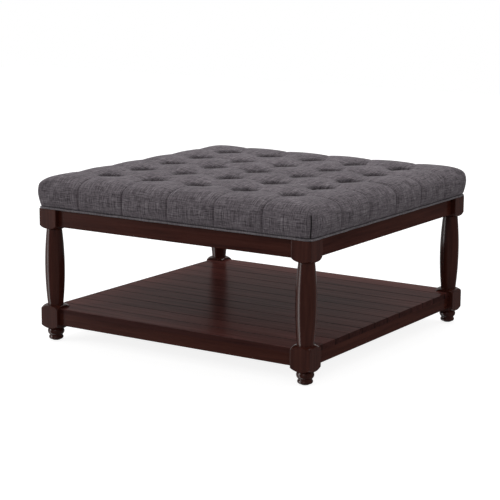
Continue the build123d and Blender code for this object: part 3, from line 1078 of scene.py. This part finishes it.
    def edge_section(self) -> list[EdgeRing]:
        """The section of the rounded edge and the side.

        Returns:
            One ring for each step over the edge, and then down the side.
        """
        power = self.crown_power
        wide = self.widest_half - self.crown_half
        tall = self.crest - self.widest_height
        start = math.asin(((self.lid_half - self.crown_half) / wide) ** (power / 2))
        section = []
        for step in range(1, self.edge_rings + 1):
            share = step / self.edge_rings
            angle = start + (math.pi / 2 - start) * share
            out = math.sin(angle) ** (2 / power)
            up = max(math.cos(angle), 0.0) ** (2 / power)
            lean = Vector((out ** (power - 1) / wide, up ** (power - 1) / tall)).normalized()
            section.append(EdgeRing(
                half=self.crown_half + wide * out,
                radius=self.lid_radius + (self.widest_radius - self.lid_radius) * share,
                pleat=self.rim_pleat + (1 - self.rim_pleat) * share,
                swell=self.rim_swell + (self.side_swell - self.rim_swell) * share,
                arch=up,
                out=lean[0],
                rise=lean[1],
            ))
        for step in range(1, self.side_rings + 1):
            share = step / self.side_rings
            drawn = share**self.tuck_power
            section.append(EdgeRing(
                half=self.widest_half + (self.tuck_half - self.widest_half) * drawn,
                radius=self.widest_radius + (self.tuck_radius - self.widest_radius) * drawn,
                pleat=1 + (self.foot_pleat - 1) * share,
                swell=self.side_swell * (1 - share) ** 0.7,
                height=self.widest_height + (self.tuck_height - self.widest_height) * share,
            ))
        return section

    def rings(self, lines: Points) -> list[Points]:
        """The rings over the rounded edge and down to the welt.

        Args:
            lines: The grid lines.

        Returns:
            The points of each ring.
        """
        lid = Lid(lines, self.straight_half)
        places = lid.loop()[2]
        level = np.ones(len(places))
        found = []
        for ring in self.edge_section():
            half, radius = ring.half * level, ring.radius * level
            along, out, share = lid.around(places, self.lid_half, half, radius)
            x, y = lid.plan(along, out)
            height = self.edge_height(x, y, ring.arch) if ring.height is None else ring.height * level
            depth = self.valley * self.line_valley(along) * ring.swell
            depth += self.pleat(self.tufts.away(along), ring.pleat)
            depth += self.corner_seam(share, height)
            angle = np.arcsin(np.clip((np.abs(along) - (half - radius)) / radius, 0, 1))
            normal_x, normal_y = lid.plan(np.sign(along) * np.sin(angle), np.cos(angle))
            x -= depth * ring.out * normal_x
            y -= depth * ring.out * normal_y
            found.append(np.stack([x, y, height - depth * ring.rise], -1))
        return found

    def corner_seam(self, share: Points, height: Points) -> Points:
        """The sewn upright seam at each corner.

        Args:
            share: The share of the way to the corner.
            height: The height of each place.

        Returns:
            Depths.
        """
        away = (1 - share) * (self.lid_half - self.straight_half)
        below = np.clip((self.seam_top - height) / self.seam_fade, 0, 1)
        return self.seam_depth * below * np.exp(-away / self.seam_width)

    def underside(self, lines: Points) -> list[Points]:
        """The foot, the turned-in lip and the hollow for the deck and foam.

        Args:
            lines: The grid lines.

        Returns:
            The points of each ring.
        """
        lid = Lid(lines, self.straight_half)
        foot, under, round_foot = self.foot_half, self.foot_height, self.foot_radius
        lip, hollow, round_lip = self.lip_half, self.hollow_half, self.hollow_radius
        tight = 0.0010
        eased_edge = 0.0008
        steps = [
            (foot + 2 * tight, under + 0.0062, round_foot),
            (foot, under + 0.0050, round_foot),
            (foot, under + eased_edge, round_foot),
            (foot - eased_edge, under, round_foot),
            (lip + eased_edge, under, round_lip),
            (lip, under + eased_edge / 2, round_lip),
            (lip, self.lip_top, round_lip),
            (lip + tight, self.lip_top, round_lip),
            (hollow - tight, self.lip_top, round_lip),
            (hollow, self.lip_top, round_lip),
            (hollow, self.lip_top + tight, round_lip),
            (hollow, self.hollow_top - tight, round_lip),
            (hollow, self.hollow_top, round_lip),
            (hollow - tight, self.hollow_top, round_lip),
        ]
        return [lid.ring(self.lid_half, *step) for step in steps]

    def swollen(self, lines: Points) -> tuple[Points, list[Points]]:
        """Inflates the cover as cloth and returns how far its points moved.

        Args:
            lines: The grid lines of the cloth.

        Returns:
            The moves of the top and of each ring, capped.
        """
        top, rings, under = self.top(lines), self.rings(lines), self.underside(lines)[:4]
        cloth_piece = Lid(lines, self.straight_half).piece("cover_cloth", top, rings + under)
        start = np.concatenate([top.reshape(-1, 3), *rings, *under])
        group = cloth_piece.vertex_groups.new(name="held")
        for number in np.nonzero(self.held_points(start))[0]:
            group.add([int(number)], 1.0, "REPLACE")
        self.cloth_for(cloth_piece, group.name)
        scene = bpy.context.scene
        for number in range(1, self.frames + 1):
            scene.frame_set(number)
        graph = bpy.context.evaluated_depsgraph_get()
        solved = cloth_piece.evaluated_get(graph).data
        ended = np.empty(len(solved.vertices) * 3, np.float32)
        solved.vertices.foreach_get("co", ended)
        moves = ended.reshape(-1, 3) - start
        bpy.data.objects.remove(cloth_piece)
        scene.frame_set(1)
        length = np.maximum(np.linalg.norm(moves, axis=1), 1e-9)[:, None]
        log.info("cloth moved %.1f mm at most", 1000 * float(length.max()))
        moves *= self.give * np.tanh(length / self.give) / length
        count = len(lines)
        on_top, around = count * count, 4 * (count - 1)
        ends = [on_top + number * around for number in range(len(rings) + 1)]
        ring_moves = [moves[first:last] for first, last in zip(ends, ends[1:])]
        return moves[:on_top].reshape(count, count, 3), ring_moves

    def cloth_for(self, piece: bpy.types.Object, held: str) -> None:
        """Makes a piece behave as stuffed cloth that grows a little.

        Args:
            piece: The piece.
            held: The name of its group of held points.
        """
        cloth = piece.modifiers.new("cloth", "CLOTH")
        wanted = {
            "quality": 5,
            "mass": 0.35,
            "tension_stiffness": 20,
            "compression_stiffness": 12,
            "shear_stiffness": 6,
            "bending_stiffness": 1.5,
            "shrink_min": -0.015,
            "vertex_group_mass": held,
            "use_pressure": True,
            "uniform_pressure_force": self.pressure,
        }
        for name, value in wanted.items():
            setattr(cloth.settings, name, value)
        cloth.settings.effector_weights.gravity = 0
        cloth.collision_settings.use_collision = False
        cloth.point_cache.frame_start = 1
        cloth.point_cache.frame_end = self.frames

    def held_points(self, points: Points) -> Points:
        """Which points of the cloth are held: tufts, pleats and everything from the welt down.

        Args:
            points: The cloth's points.

        Returns:
            A truth value for each point.
        """
        edge = 0.002
        x, y, z = points.T
        across, along = np.abs(self.tufts.away(x)), np.abs(self.tufts.away(y))
        outer = self.tufts.outer + self.cell
        tuft = np.sqrt(across**2 + along**2) < self.tuft_floor + edge
        pleat = ((across < 2 * edge) & (np.abs(y) > outer)) | ((along < 2 * edge) & (np.abs(x) > outer))
        diagonal = np.abs(np.abs(x) - np.abs(y)) < edge
        seam = diagonal & (z < self.seam_top) & (np.abs(x) > self.lid_half)
        return tuft | pleat | seam | (z <= self.tuck_height + edge / 4)

    def carry(self, lines: Points, moves: tuple[Points, list[Points]]) -> tuple[Points, list[Points]]:
        """Carries the cloth's moves over to finer lines.

        Args:
            lines: The finer lines.
            moves: The moves on the even lines.

        Returns:
            The moves on the finer lines.
        """
        coarse = self.coarse_lines()
        last = len(coarse) - 1
        top, rings = moves
        rows = np.stack([resampled(lines, coarse, line) for line in top])
        whole = np.stack([resampled(lines, coarse, line) for line in rows.transpose(1, 0, 2)])
        carried = []
        for ring in rings:
            closed = np.concatenate([ring, ring[:1]])
            sides = [closed[side * last : (side + 1) * last + 1] for side in range(4)]
            carried.append(np.concatenate([resampled(lines[:-1], coarse, line) for line in sides]))
        return whole.transpose(1, 0, 2), carried

    def build(self, finish: bpy.types.Material) -> bpy.types.Object:
        """Builds the cover and puts its weave on.

        Args:
            finish: The weave.

        Returns:
            The cover.
        """
        lines = self.fine_lines()
        top, rings = self.top(lines), self.rings(lines)
        top_moves, ring_moves = self.carry(lines, self.swollen(self.coarse_lines()))
        top = top + top_moves
        rings = [ring + move for ring, move in zip(rings, ring_moves)]
        cover = Lid(lines, self.straight_half).piece("seat_cover", top, rings + self.underside(lines))
        round_off(cover)
        close_up(cover)
        put_on(cover, finish)
        introduce(cover, "seat_fabric", "tufted_cover")
        return cover


@dataclass
class WeltCord:
    """The fabric-covered cord round the foot of the cover."""

    half: float = 0.450
    corner_radius: float = 0.014
    height: float = 0.389
    radius: float = 0.003
    drift: float = 0.0007
    step: float = 0.004
    bend_steps: int = 9
    sides: int = 12

    def line(self) -> Points:
        """The cord's line: a square with round corners that wanders a little.

        Returns:
            Its points, once round the table.
        """
        flat = self.half - self.corner_radius
        straight = np.linspace(-flat, flat, int(2 * flat / self.step), endpoint=False)
        bend = np.linspace(-math.pi / 4, math.pi / 4, self.bend_steps, endpoint=False) + math.pi / 4
        run = [(place, -self.half) for place in straight]
        for angle in bend:
            reach = flat + self.corner_radius * math.sin(angle)
            run.append((reach, -flat - self.corner_radius * math.cos(angle)))
        points = []
        for side in range(4):
            cos, sin = math.cos(side * math.pi / 2), math.sin(side * math.pi / 2)
            points += [(x * cos - y * sin, x * sin + y * cos) for x, y in run]
        plan = np.array(points)
        share = np.arange(len(plan)) / len(plan) * 2 * math.pi
        wander = 0.5 * np.sin(31 * share + 1.0) + 0.3 * np.sin(47 * share + 2.2) + 0.2 * np.sin(83 * share)
        lift = 0.5 * np.sin(27 * share + 0.4) + 0.3 * np.sin(53 * share + 1.7)
        plan = plan * (1 + self.drift * wander / self.half)[:, None]
        return np.column_stack([plan, self.height + self.drift * 0.5 * lift])

    def build(self, finish: bpy.types.Material) -> bpy.types.Object:
        """Builds the cord, its cover gathered in small puckers.

        Args:
            finish: The weave, cut on the bias, in a lighter copy that is painted light.

        Returns:
            The cord.
        """
        line = self.line()
        numbers = np.arange(len(line))
        pucker = 0.03 * np.sin(numbers * 1.9) + 0.02 * np.sin(numbers * 0.73 + 1.0)
        points, faces = tube(line, self.radius * (1 + pucker), self.sides, True)
        cord = new_piece("welt", points, faces)
        put_on(cord, finish)
        introduce(cord, "welt_fabric", "welt_cord")
        return cord


@dataclass
class SeatFilling:
    """The foam pad and the ties that pull the tufts down."""

    deck_top: float = 0.406
    foam_top: float = 0.4458
    foam_half: float = 0.4440
    foam_radius: float = 0.0085
    edge: float = 0.006
    cell: float = 0.019
    straight_half: float = 0.42
    dimple: float = 0.0025
    dimple_reach: float = 0.02
    tufts: TuftGrid = TuftGrid()
    tie_bottom: float = 0.388
    tie_step: float = 0.0015
    strand: float = 0.0008
    strand_sides: int = 6
    twist: float = 0.007
    knot_radius: float = 0.0022
    knot_growth: float = 0.0012
    knot_turn: float = 2.6 * math.pi

    def build_foam(self, finish: bpy.types.Material) -> bpy.types.Object:
        """Builds the foam pad: eased edges, and a dimple under each tuft.

        Args:
            finish: The foam.

        Returns:
            The pad.
        """
        half = self.foam_half - self.edge
        lines = np.linspace(-half, half, 2 * round(half / self.cell) + 1)
        lid = Lid(lines, self.straight_half)
        x, y = np.meshgrid(lines, lines)
        away = self.tufts.away(x) ** 2 + self.tufts.away(y) ** 2
        top = np.stack([x, y, self.foam_top - self.dimple * np.exp(-away / self.dimple_reach**2)], -1)
        steps = [
            (self.foam_half - 0.3 * self.edge, self.foam_top - 0.3 * self.edge),
            (self.foam_half, self.foam_top - self.edge),
            (self.foam_half, self.deck_top + self.edge),
            (self.foam_half - 0.2 * self.edge, self.deck_top + 0.0004),
        ]
        rings = [lid.ring(half, wide, height, self.foam_radius) for wide, height in steps]
        pad = lid.piece("foam_block", top, rings)
        close_up(pad)
        put_on(pad, finish)
        introduce(pad, "foam", "foam_pad")
        return pad

    def tie(self, x: float, y: float) -> list[tuple[Points, Faces]]:
        """One tie: two twisted plies, and the coil of its knot.

        Args:
            x: Where it is along X.
            y: Where it is along Y.

        Returns:
            The points and faces of its three tubes.
        """
        heights = np.arange(self.tie_bottom - 0.0004, self.foam_top + 0.0002, self.tie_step)
        lay = 0.7 * self.strand
        tubes = []
        for ply in (0.0, math.pi):
            angle = heights / self.twist * 2 * math.pi + ply
            line = np.column_stack([x + lay * np.cos(angle), y + lay * np.sin(angle), heights])
            tubes.append(tube(line, np.full(len(line), self.strand), self.strand_sides, False))
        turns = np.linspace(0, self.knot_turn, 30)
        reach = self.knot_radius + self.knot_growth * turns / turns[-1]
        level = np.full(len(turns), self.tie_bottom - self.strand)
        coil = np.column_stack([x + reach * np.cos(turns), y + reach * np.sin(turns), level])
        tubes.append(tube(coil, np.full(len(coil), self.strand * 0.9), self.strand_sides, False))
        return tubes

    def build_ties(self, finish: bpy.types.Material) -> bpy.types.Object:
        """Builds the ties: two-ply twine from each tuft to a knot under the deck.

        Args:
            finish: The twine.

        Returns:
            All the ties, as one piece.
        """
        points, faces, start = [], [], 0
        for x in self.tufts.lines():
            for y in self.tufts.lines():
                for more, sides in self.tie(x, y):
                    points.append(more)
                    faces += [[start + number for number in face] for face in sides]
                    start += len(more)
        ties = new_piece("tuft_twine", np.concatenate(points), faces)
        put_on(ties, finish)
        introduce(ties, "twine", "tuft_ties")
        return ties


@dataclass
class DustCover:
    """The thin cloth stretched under the deck, with its hem turned up."""

    half: float = 0.414
    corner: float = 0.0844
    height: float = 0.3862
    thickness: float = 0.0006
    hem_width: float = 0.020
    hem_rise: float = 0.0011
    sag: float = 0.0025
    pucker: float = 0.0003
    pucker_reach: float = 0.02
    cell: float = 0.0138
    staple_pitch: float = 0.069

    def cut(self, mesh: bmesh.types.BMesh) -> None:
        """Cuts the four corners of the sheet off.

        Args:
            mesh: The sheet.
        """
        for turn_x, turn_y in ((1, 1), (-1, 1), (-1, -1), (1, -1)):
            bmesh.ops.bisect_plane(
                mesh,
                geom=mesh.verts[:] + mesh.edges[:] + mesh.faces[:],
                plane_co=(turn_x * self.half, turn_y * (self.half - self.corner), self.height),
                plane_no=(turn_x, turn_y, 0),
                clear_outer=True,
                dist=1e-6,
            )

    def pull(self, along: float, across: float) -> float:
        """How much the staples of two sides pucker a place, from -1 to 1."""
        fade = math.exp(-(self.half - abs(across)) / self.pucker_reach)
        return math.cos(2 * math.pi * along / self.staple_pitch) * fade

    def build(self, finish: bpy.types.Material) -> bpy.types.Object:
        """Builds the stretched cloth and its hem.

        Args:
            finish: The cloth.

        Returns:
            The cloth.
        """
        mesh = bmesh.new()
        cells = round(2 * self.half / self.cell)
        bmesh.ops.create_grid(mesh, x_segments=cells, y_segments=cells, size=self.half)
        self.cut(mesh)
        for point in mesh.verts:
            x, y = point.co.x, point.co.y
            inside = max(0.0, 1 - (x / self.half) ** 2) * max(0.0, 1 - (y / self.half) ** 2)
            puckered = self.pucker * (self.pull(x, y) + self.pull(y, x))
            point.co.z = self.height - self.sag * inside + puckered
        cloth = self.sheet_from(mesh, "dust_sheet", finish)
        hem = self.build_hem(finish)
        introduce(cloth, "dust_cloth", "dust_cover")
        introduce(hem, "dust_cloth")
        return cloth

    def build_hem(self, finish: bpy.types.Material) -> bpy.types.Object:
        """Builds the turned-up hem that the staples go through.

        Args:
            finish: The cloth.

        Returns:
            The hem.
        """
        mesh = bmesh.new()
        inner_corner = self.corner - self.hem_width * (2 - math.sqrt(2))
        outline = []
        for half, corner in ((self.half, self.corner), (self.half - self.hem_width, inner_corner)):
            flat = half - corner
            corners = [(flat, -half), (half, -flat), (half, flat), (flat, half)]
            corners += [(-flat, half), (-half, flat), (-half, -flat), (-flat, -half)]
            height = self.height + self.hem_rise
            outline.append([mesh.verts.new((x, y, height)) for x, y in corners])
        outer, inner = outline
        for step in range(8):
            near = (step + 1) % 8
            mesh.faces.new([outer[step], outer[near], inner[near], inner[step]])
        return self.sheet_from(mesh, "dust_sheet_hem", finish)

    def sheet_from(self, mesh: bmesh.types.BMesh, name: str, finish: bpy.types.Material) -> bpy.types.Object:
        """Makes a closed thin piece from a flat mesh.

        Args:
            mesh: The flat mesh, which is used up.
            name: The piece's name.
            finish: The cloth.

        Returns:
            The piece.
        """
        data = bpy.data.meshes.new(name)
        mesh.to_mesh(data)
        mesh.free()
        data.shade_smooth()
        piece = bpy.data.objects.new(name, data)
        bpy.context.scene.collection.objects.link(piece)
        body = piece.modifiers.new("body", "SOLIDIFY")
        body.thickness = self.thickness
        body.offset = 0
        settle(piece)
        put_on(piece, finish)
        return piece


@dataclass
class Woodwork:
    """The legs, aprons, shelf and braces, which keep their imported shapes."""

    board_width: float = 0.872 / 12

    def finish_for(self) -> dict[str, bpy.types.Material]:
        """Makes the finish of each piece of wood.

        Returns:
            The finishes, by the start of the piece's name.
        """
        upright = StainedWood("stained_wood_upright", Grain.UPRIGHT, coat=0.5).material()
        across = StainedWood("stained_wood_across", Grain.ACROSS, coat=0.27, coat_rough=0.19).material()
        deep = StainedWood("stained_wood_deep", Grain.DEEP, coat=0.25).material()
        # The shelf boards take a lighter copy of the stain: painted light for the light that reaches the
        # shelf under the seat.
        boards = StainedWood(
            "stained_wood_boards",
            Grain.ACROSS,
            deep=(0.062, 0.0175, 0.0150),
            body=(0.104, 0.0320, 0.0270),
            pale=(0.148, 0.0500, 0.0425),
            rough=0.5,
            coat=0.15,
            coat_rough=0.24,
            board_width=self.board_width,
        ).material()
        rising = BareWood("brace_wood_rising", Grain.ACROSS, turn=-math.pi / 4).material()
        falling = BareWood("brace_wood_falling", Grain.ACROSS, turn=math.pi / 4).material()
        pegs = BareWood("dowel_wood", Grain.ACROSS, body=(0.55, 0.38, 0.22)).material()
        return {
            "leg_": upright,
            "shelf_board_": boards,
            "apron_front": across,
            "apron_back": across,
            "shelf_rail_front": across,
            "shelf_rail_back": across,
            "apron_left": deep,
            "apron_right": deep,
            "shelf_rail_left": deep,
            "shelf_rail_right": deep,
            "shelf_batten": deep,
            "seat_deck": Plywood("deck_plywood").material(),
            "apron_dowels": pegs,
            "shelf_rail_dowels": pegs,
            "corner_brace_back_left": rising,
            "corner_brace_front_right": rising,
            "corner_brace_back_right": falling,
            "corner_brace_front_left": falling,
        }

    def dress(self) -> None:
        """Puts stain on what shows and leaves the hidden wood bare."""
        dress_nodes(self.finish_for())


@dataclass
class Fixings:
    """The screws, bolts, nuts, washers and glides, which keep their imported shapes."""

    steel: tuple[str, ...] = ("brace_screws", "deck_screws", "shelf_screws", "hanger_")
    nylon: Plain = Plain(
        "glide_nylon", (0.12, 0.11, 0.10), shade=0.86,
        rough=0.45, shine=0.4, blot=0.01, pit=0.0006, depth=0.00008,
    )

    def dress(self) -> None:
        """Puts zinc plate on the steel and dark nylon on the glides."""
        zinc = ZincSteel("zinc_plate").material()
        dress_nodes({"foot_glide_": self.nylon.material(), **dict.fromkeys(self.steel, zinc)})


@dataclass(frozen=True)
class Glow:
    """Light that grows towards one direction round the table, with angles in degrees from the front."""

    aim: float
    start: float
    end: float
    low: float
    high: float

    def strength(self, nodes: Nodes, level: Socket) -> Socket:
        """Its strength, lowest from one angle beside its direction and highest within another.

        Args:
            nodes: The world's node tree.
            level: The level direction of each ray.

        Returns:
            The strength's socket.
        """
        aim = math.radians(self.aim)
        heading = {0: level, 1: (math.sin(aim), -math.cos(aim), 0)}
        toward = nodes.node("ShaderNodeVectorMath", heading, operation="DOT_PRODUCT").outputs["Value"]
        span = (math.cos(math.radians(self.start)), math.cos(math.radians(self.end)))
        return nodes.spread(toward, span, (self.low, self.high), smooth=True)


@dataclass(frozen=True)
class Lamp:
    """One soft square lamp, with its power in watts."""

    name: str
    place: Place
    aim: Place
    size: float
    power: float

    def hang(self) -> None:
        """Hangs the lamp."""
        data = bpy.data.lights.new(self.name, "AREA")
        data.size = self.size
        data.energy = self.power
        lamp = bpy.data.objects.new(self.name, data)
        lamp.location = self.place
        toward = Vector(self.aim) - Vector(self.place)
        lamp.rotation_euler = toward.to_track_quat("-Z", "Y").to_euler()
        bpy.context.scene.collection.objects.link(lamp)


@dataclass
class Studio:
    """The pale floor, the soft light and the camera."""

    camera_place: Place = (2.4696, -3.8555, 1.1461)
    camera_aim: Place = (0.0021, -0.0431, 0.2492)
    camera_roll: float = 0.0061
    lens: float = 114.16
    sensor: float = 36.0
    room_light: float = 0.38
    floor_size: float = 14.0
    floor_colour: float = 0.42
    floor_glow: float = 0.86
    panel: Glow = Glow(aim=-54, start=13, end=7, low=0.0, high=3.7)
    backdrop: Glow = Glow(aim=-116, start=94, end=30, low=0.19, high=0.8)
    horizon: Glow = Glow(aim=180, start=100, end=40, low=0.0, high=1.15)
    horizon_span: Span = (0.3, 0.6)
    lamps: tuple[Lamp, ...] = (
        Lamp("overhead_lamp", place=(-0.7, 1.6, 4.2), aim=(0, 0, 0.4), size=2.6, power=84),
        Lamp("left_lamp", place=(-2.8, -2.3, 1.3), aim=(0, 0, 0.3), size=0.8, power=24),
        Lamp("front_lamp", place=(0.9, -3.6, 2.0), aim=(0, 0, 0.3), size=2.0, power=12),
    )

    def seen(self, nodes: Nodes) -> Socket:
        """Whether a ray shows the background: straight, mirrored or through glass.

        Args:
            nodes: The node tree it is added to.

        Returns:
            A socket that is 1 for such a ray.
        """
        path = nodes.node("ShaderNodeLightPath").outputs
        mirrored = nodes.sum("MAXIMUM", path["Is Camera Ray"], path["Is Glossy Ray"])
        return nodes.sum("MAXIMUM", mirrored, path["Is Transmission Ray"])

    def mixed(self, nodes: Nodes, share: Socket, first: Socket, second: Socket | float) -> Socket:
        """A blend of two strengths, by the share of the second."""
        blend = {"Factor": share, "A": first, "B": second}
        return nodes.node("ShaderNodeMix", blend).outputs["Result"]

    def build_world(self) -> None:
        """Surrounds the table with even light, white behind it, and a panel and backdrop in its polish."""
        world = bpy.data.worlds.new("studio")
        world.use_nodes = True
        background = world.node_tree.nodes["Background"]
        background.inputs["Color"].default_value = (1, 1, 1, 1)
        nodes = Nodes(world.node_tree)
        where = nodes.node("ShaderNodeTexCoord").outputs["Generated"]
        flat = nodes.node("ShaderNodeVectorMath", {0: where, 1: (1, 1, 0)}, operation="MULTIPLY").outputs[0]
        level = nodes.node("ShaderNodeVectorMath", {0: flat}, operation="NORMALIZE").outputs[0]
        panel, backdrop, horizon = (
            glow.strength(nodes, level) for glow in (self.panel, self.backdrop, self.horizon)
        )
        low_share = nodes.spread(nodes.parts(where)["Z"], self.horizon_span, (1.0, 0.0))
        room = nodes.sum("ADD", self.room_light, nodes.sum("MULTIPLY", horizon, low_share))
        path = nodes.node("ShaderNodeLightPath").outputs
        shown = self.mixed(nodes, self.seen(nodes), room, 1.0)
        strength = self.mixed(nodes, path["Is Glossy Ray"], shown, nodes.sum("ADD", panel, backdrop))
        nodes.tree.links.new(strength, background.inputs["Strength"])
        bpy.context.scene.world = world

    def build_floor(self) -> None:
        """Lays a pale matt floor that keeps the table's shadow."""
        edge = self.floor_size / 2
        corners = np.array([[-edge, -edge, 0], [edge, -edge, 0], [edge, edge, 0], [-edge, edge, 0]])
        floor = new_piece("studio_floor", corners, [[0, 1, 2, 3]])
        shader = Shader("studio_floor")
        matt = shader.node("ShaderNodeBsdfDiffuse", {"Color": (self.floor_colour,) * 3 + (1,)})
        glow = shader.sum("MULTIPLY", self.seen(shader), self.floor_glow)
        light = shader.node("ShaderNodeEmission", {"Color": (1, 1, 1, 1), "Strength": glow})
        both = shader.node("ShaderNodeAddShader", {0: matt.outputs[0], 1: light.outputs[0]})
        shader.node("ShaderNodeOutputMaterial", {"Surface": both.outputs[0]})
        put_on(floor, shader.material)
        floor.visible_glossy = False

    def build_camera(self) -> None:
        """Sets the camera where the photograph was taken from."""
        data = bpy.data.cameras.new("camera")
        data.lens = self.lens
        data.sensor_width = self.sensor
        data.sensor_fit = "HORIZONTAL"
        camera = bpy.data.objects.new("camera", data)
        camera.location = self.camera_place
        aim = Vector(self.camera_aim) - Vector(self.camera_place)
        level = aim.to_track_quat("-Z", "Y")
        camera.rotation_euler = (level @ Quaternion((0, 0, 1), self.camera_roll)).to_euler()
        bpy.context.scene.collection.objects.link(camera)
        bpy.context.scene.camera = camera

    def build(self) -> None:
        """Builds the whole studio."""
        self.build_camera()
        self.build_world()
        self.build_floor()
        for lamp in self.lamps:
            lamp.hang()
        bpy.context.scene.view_settings.view_transform = "Standard"
        log.info("built the studio")


# The whole table


def main() -> None:
    """Builds the studio and every sub-assembly."""
    logging.basicConfig(level=logging.INFO, format="%(message)s")
    Studio().build()
    seat = TuftedSeat()
    weave = HeatherWeave("heather_weave", tufts=seat.tufts)
    # The welt takes a lighter copy of the weave: painted light for the light that its round cord catches.
    bias = HeatherWeave(
        "heather_welt", deep=(0.085, 0.075, 0.082), body=(0.17, 0.153, 0.165), pale=(0.31, 0.285, 0.30)
    )
    foam = Plain(
        "pale_foam", (0.72, 0.66, 0.46), shade=0.9,
        rough=0.9, shine=0.1, blot=0.05, pit=0.0012, depth=0.0004,
    )
    twine = Plain(
        "waxed_twine", (0.34, 0.27, 0.19), shade=0.7,
        rough=0.7, shine=0.3, blot=0.004, pit=0.0004, depth=0.0001,
    )
    spun = Plain(
        "spun_cloth", (0.018, 0.018, 0.019), shade=0.6,
        rough=0.85, shine=0.2, blot=0.03, pit=0.0009, depth=0.0002,
    )
    seat.build(weave.material())
    WeltCord().build(bias.material())
    filling = SeatFilling(tufts=seat.tufts)
    filling.build_foam(foam.material())
    filling.build_ties(twine.material())
    DustCover().build(spun.material())
    Woodwork().dress()
    Fixings().dress()


if __name__ == "__main__":
    main()
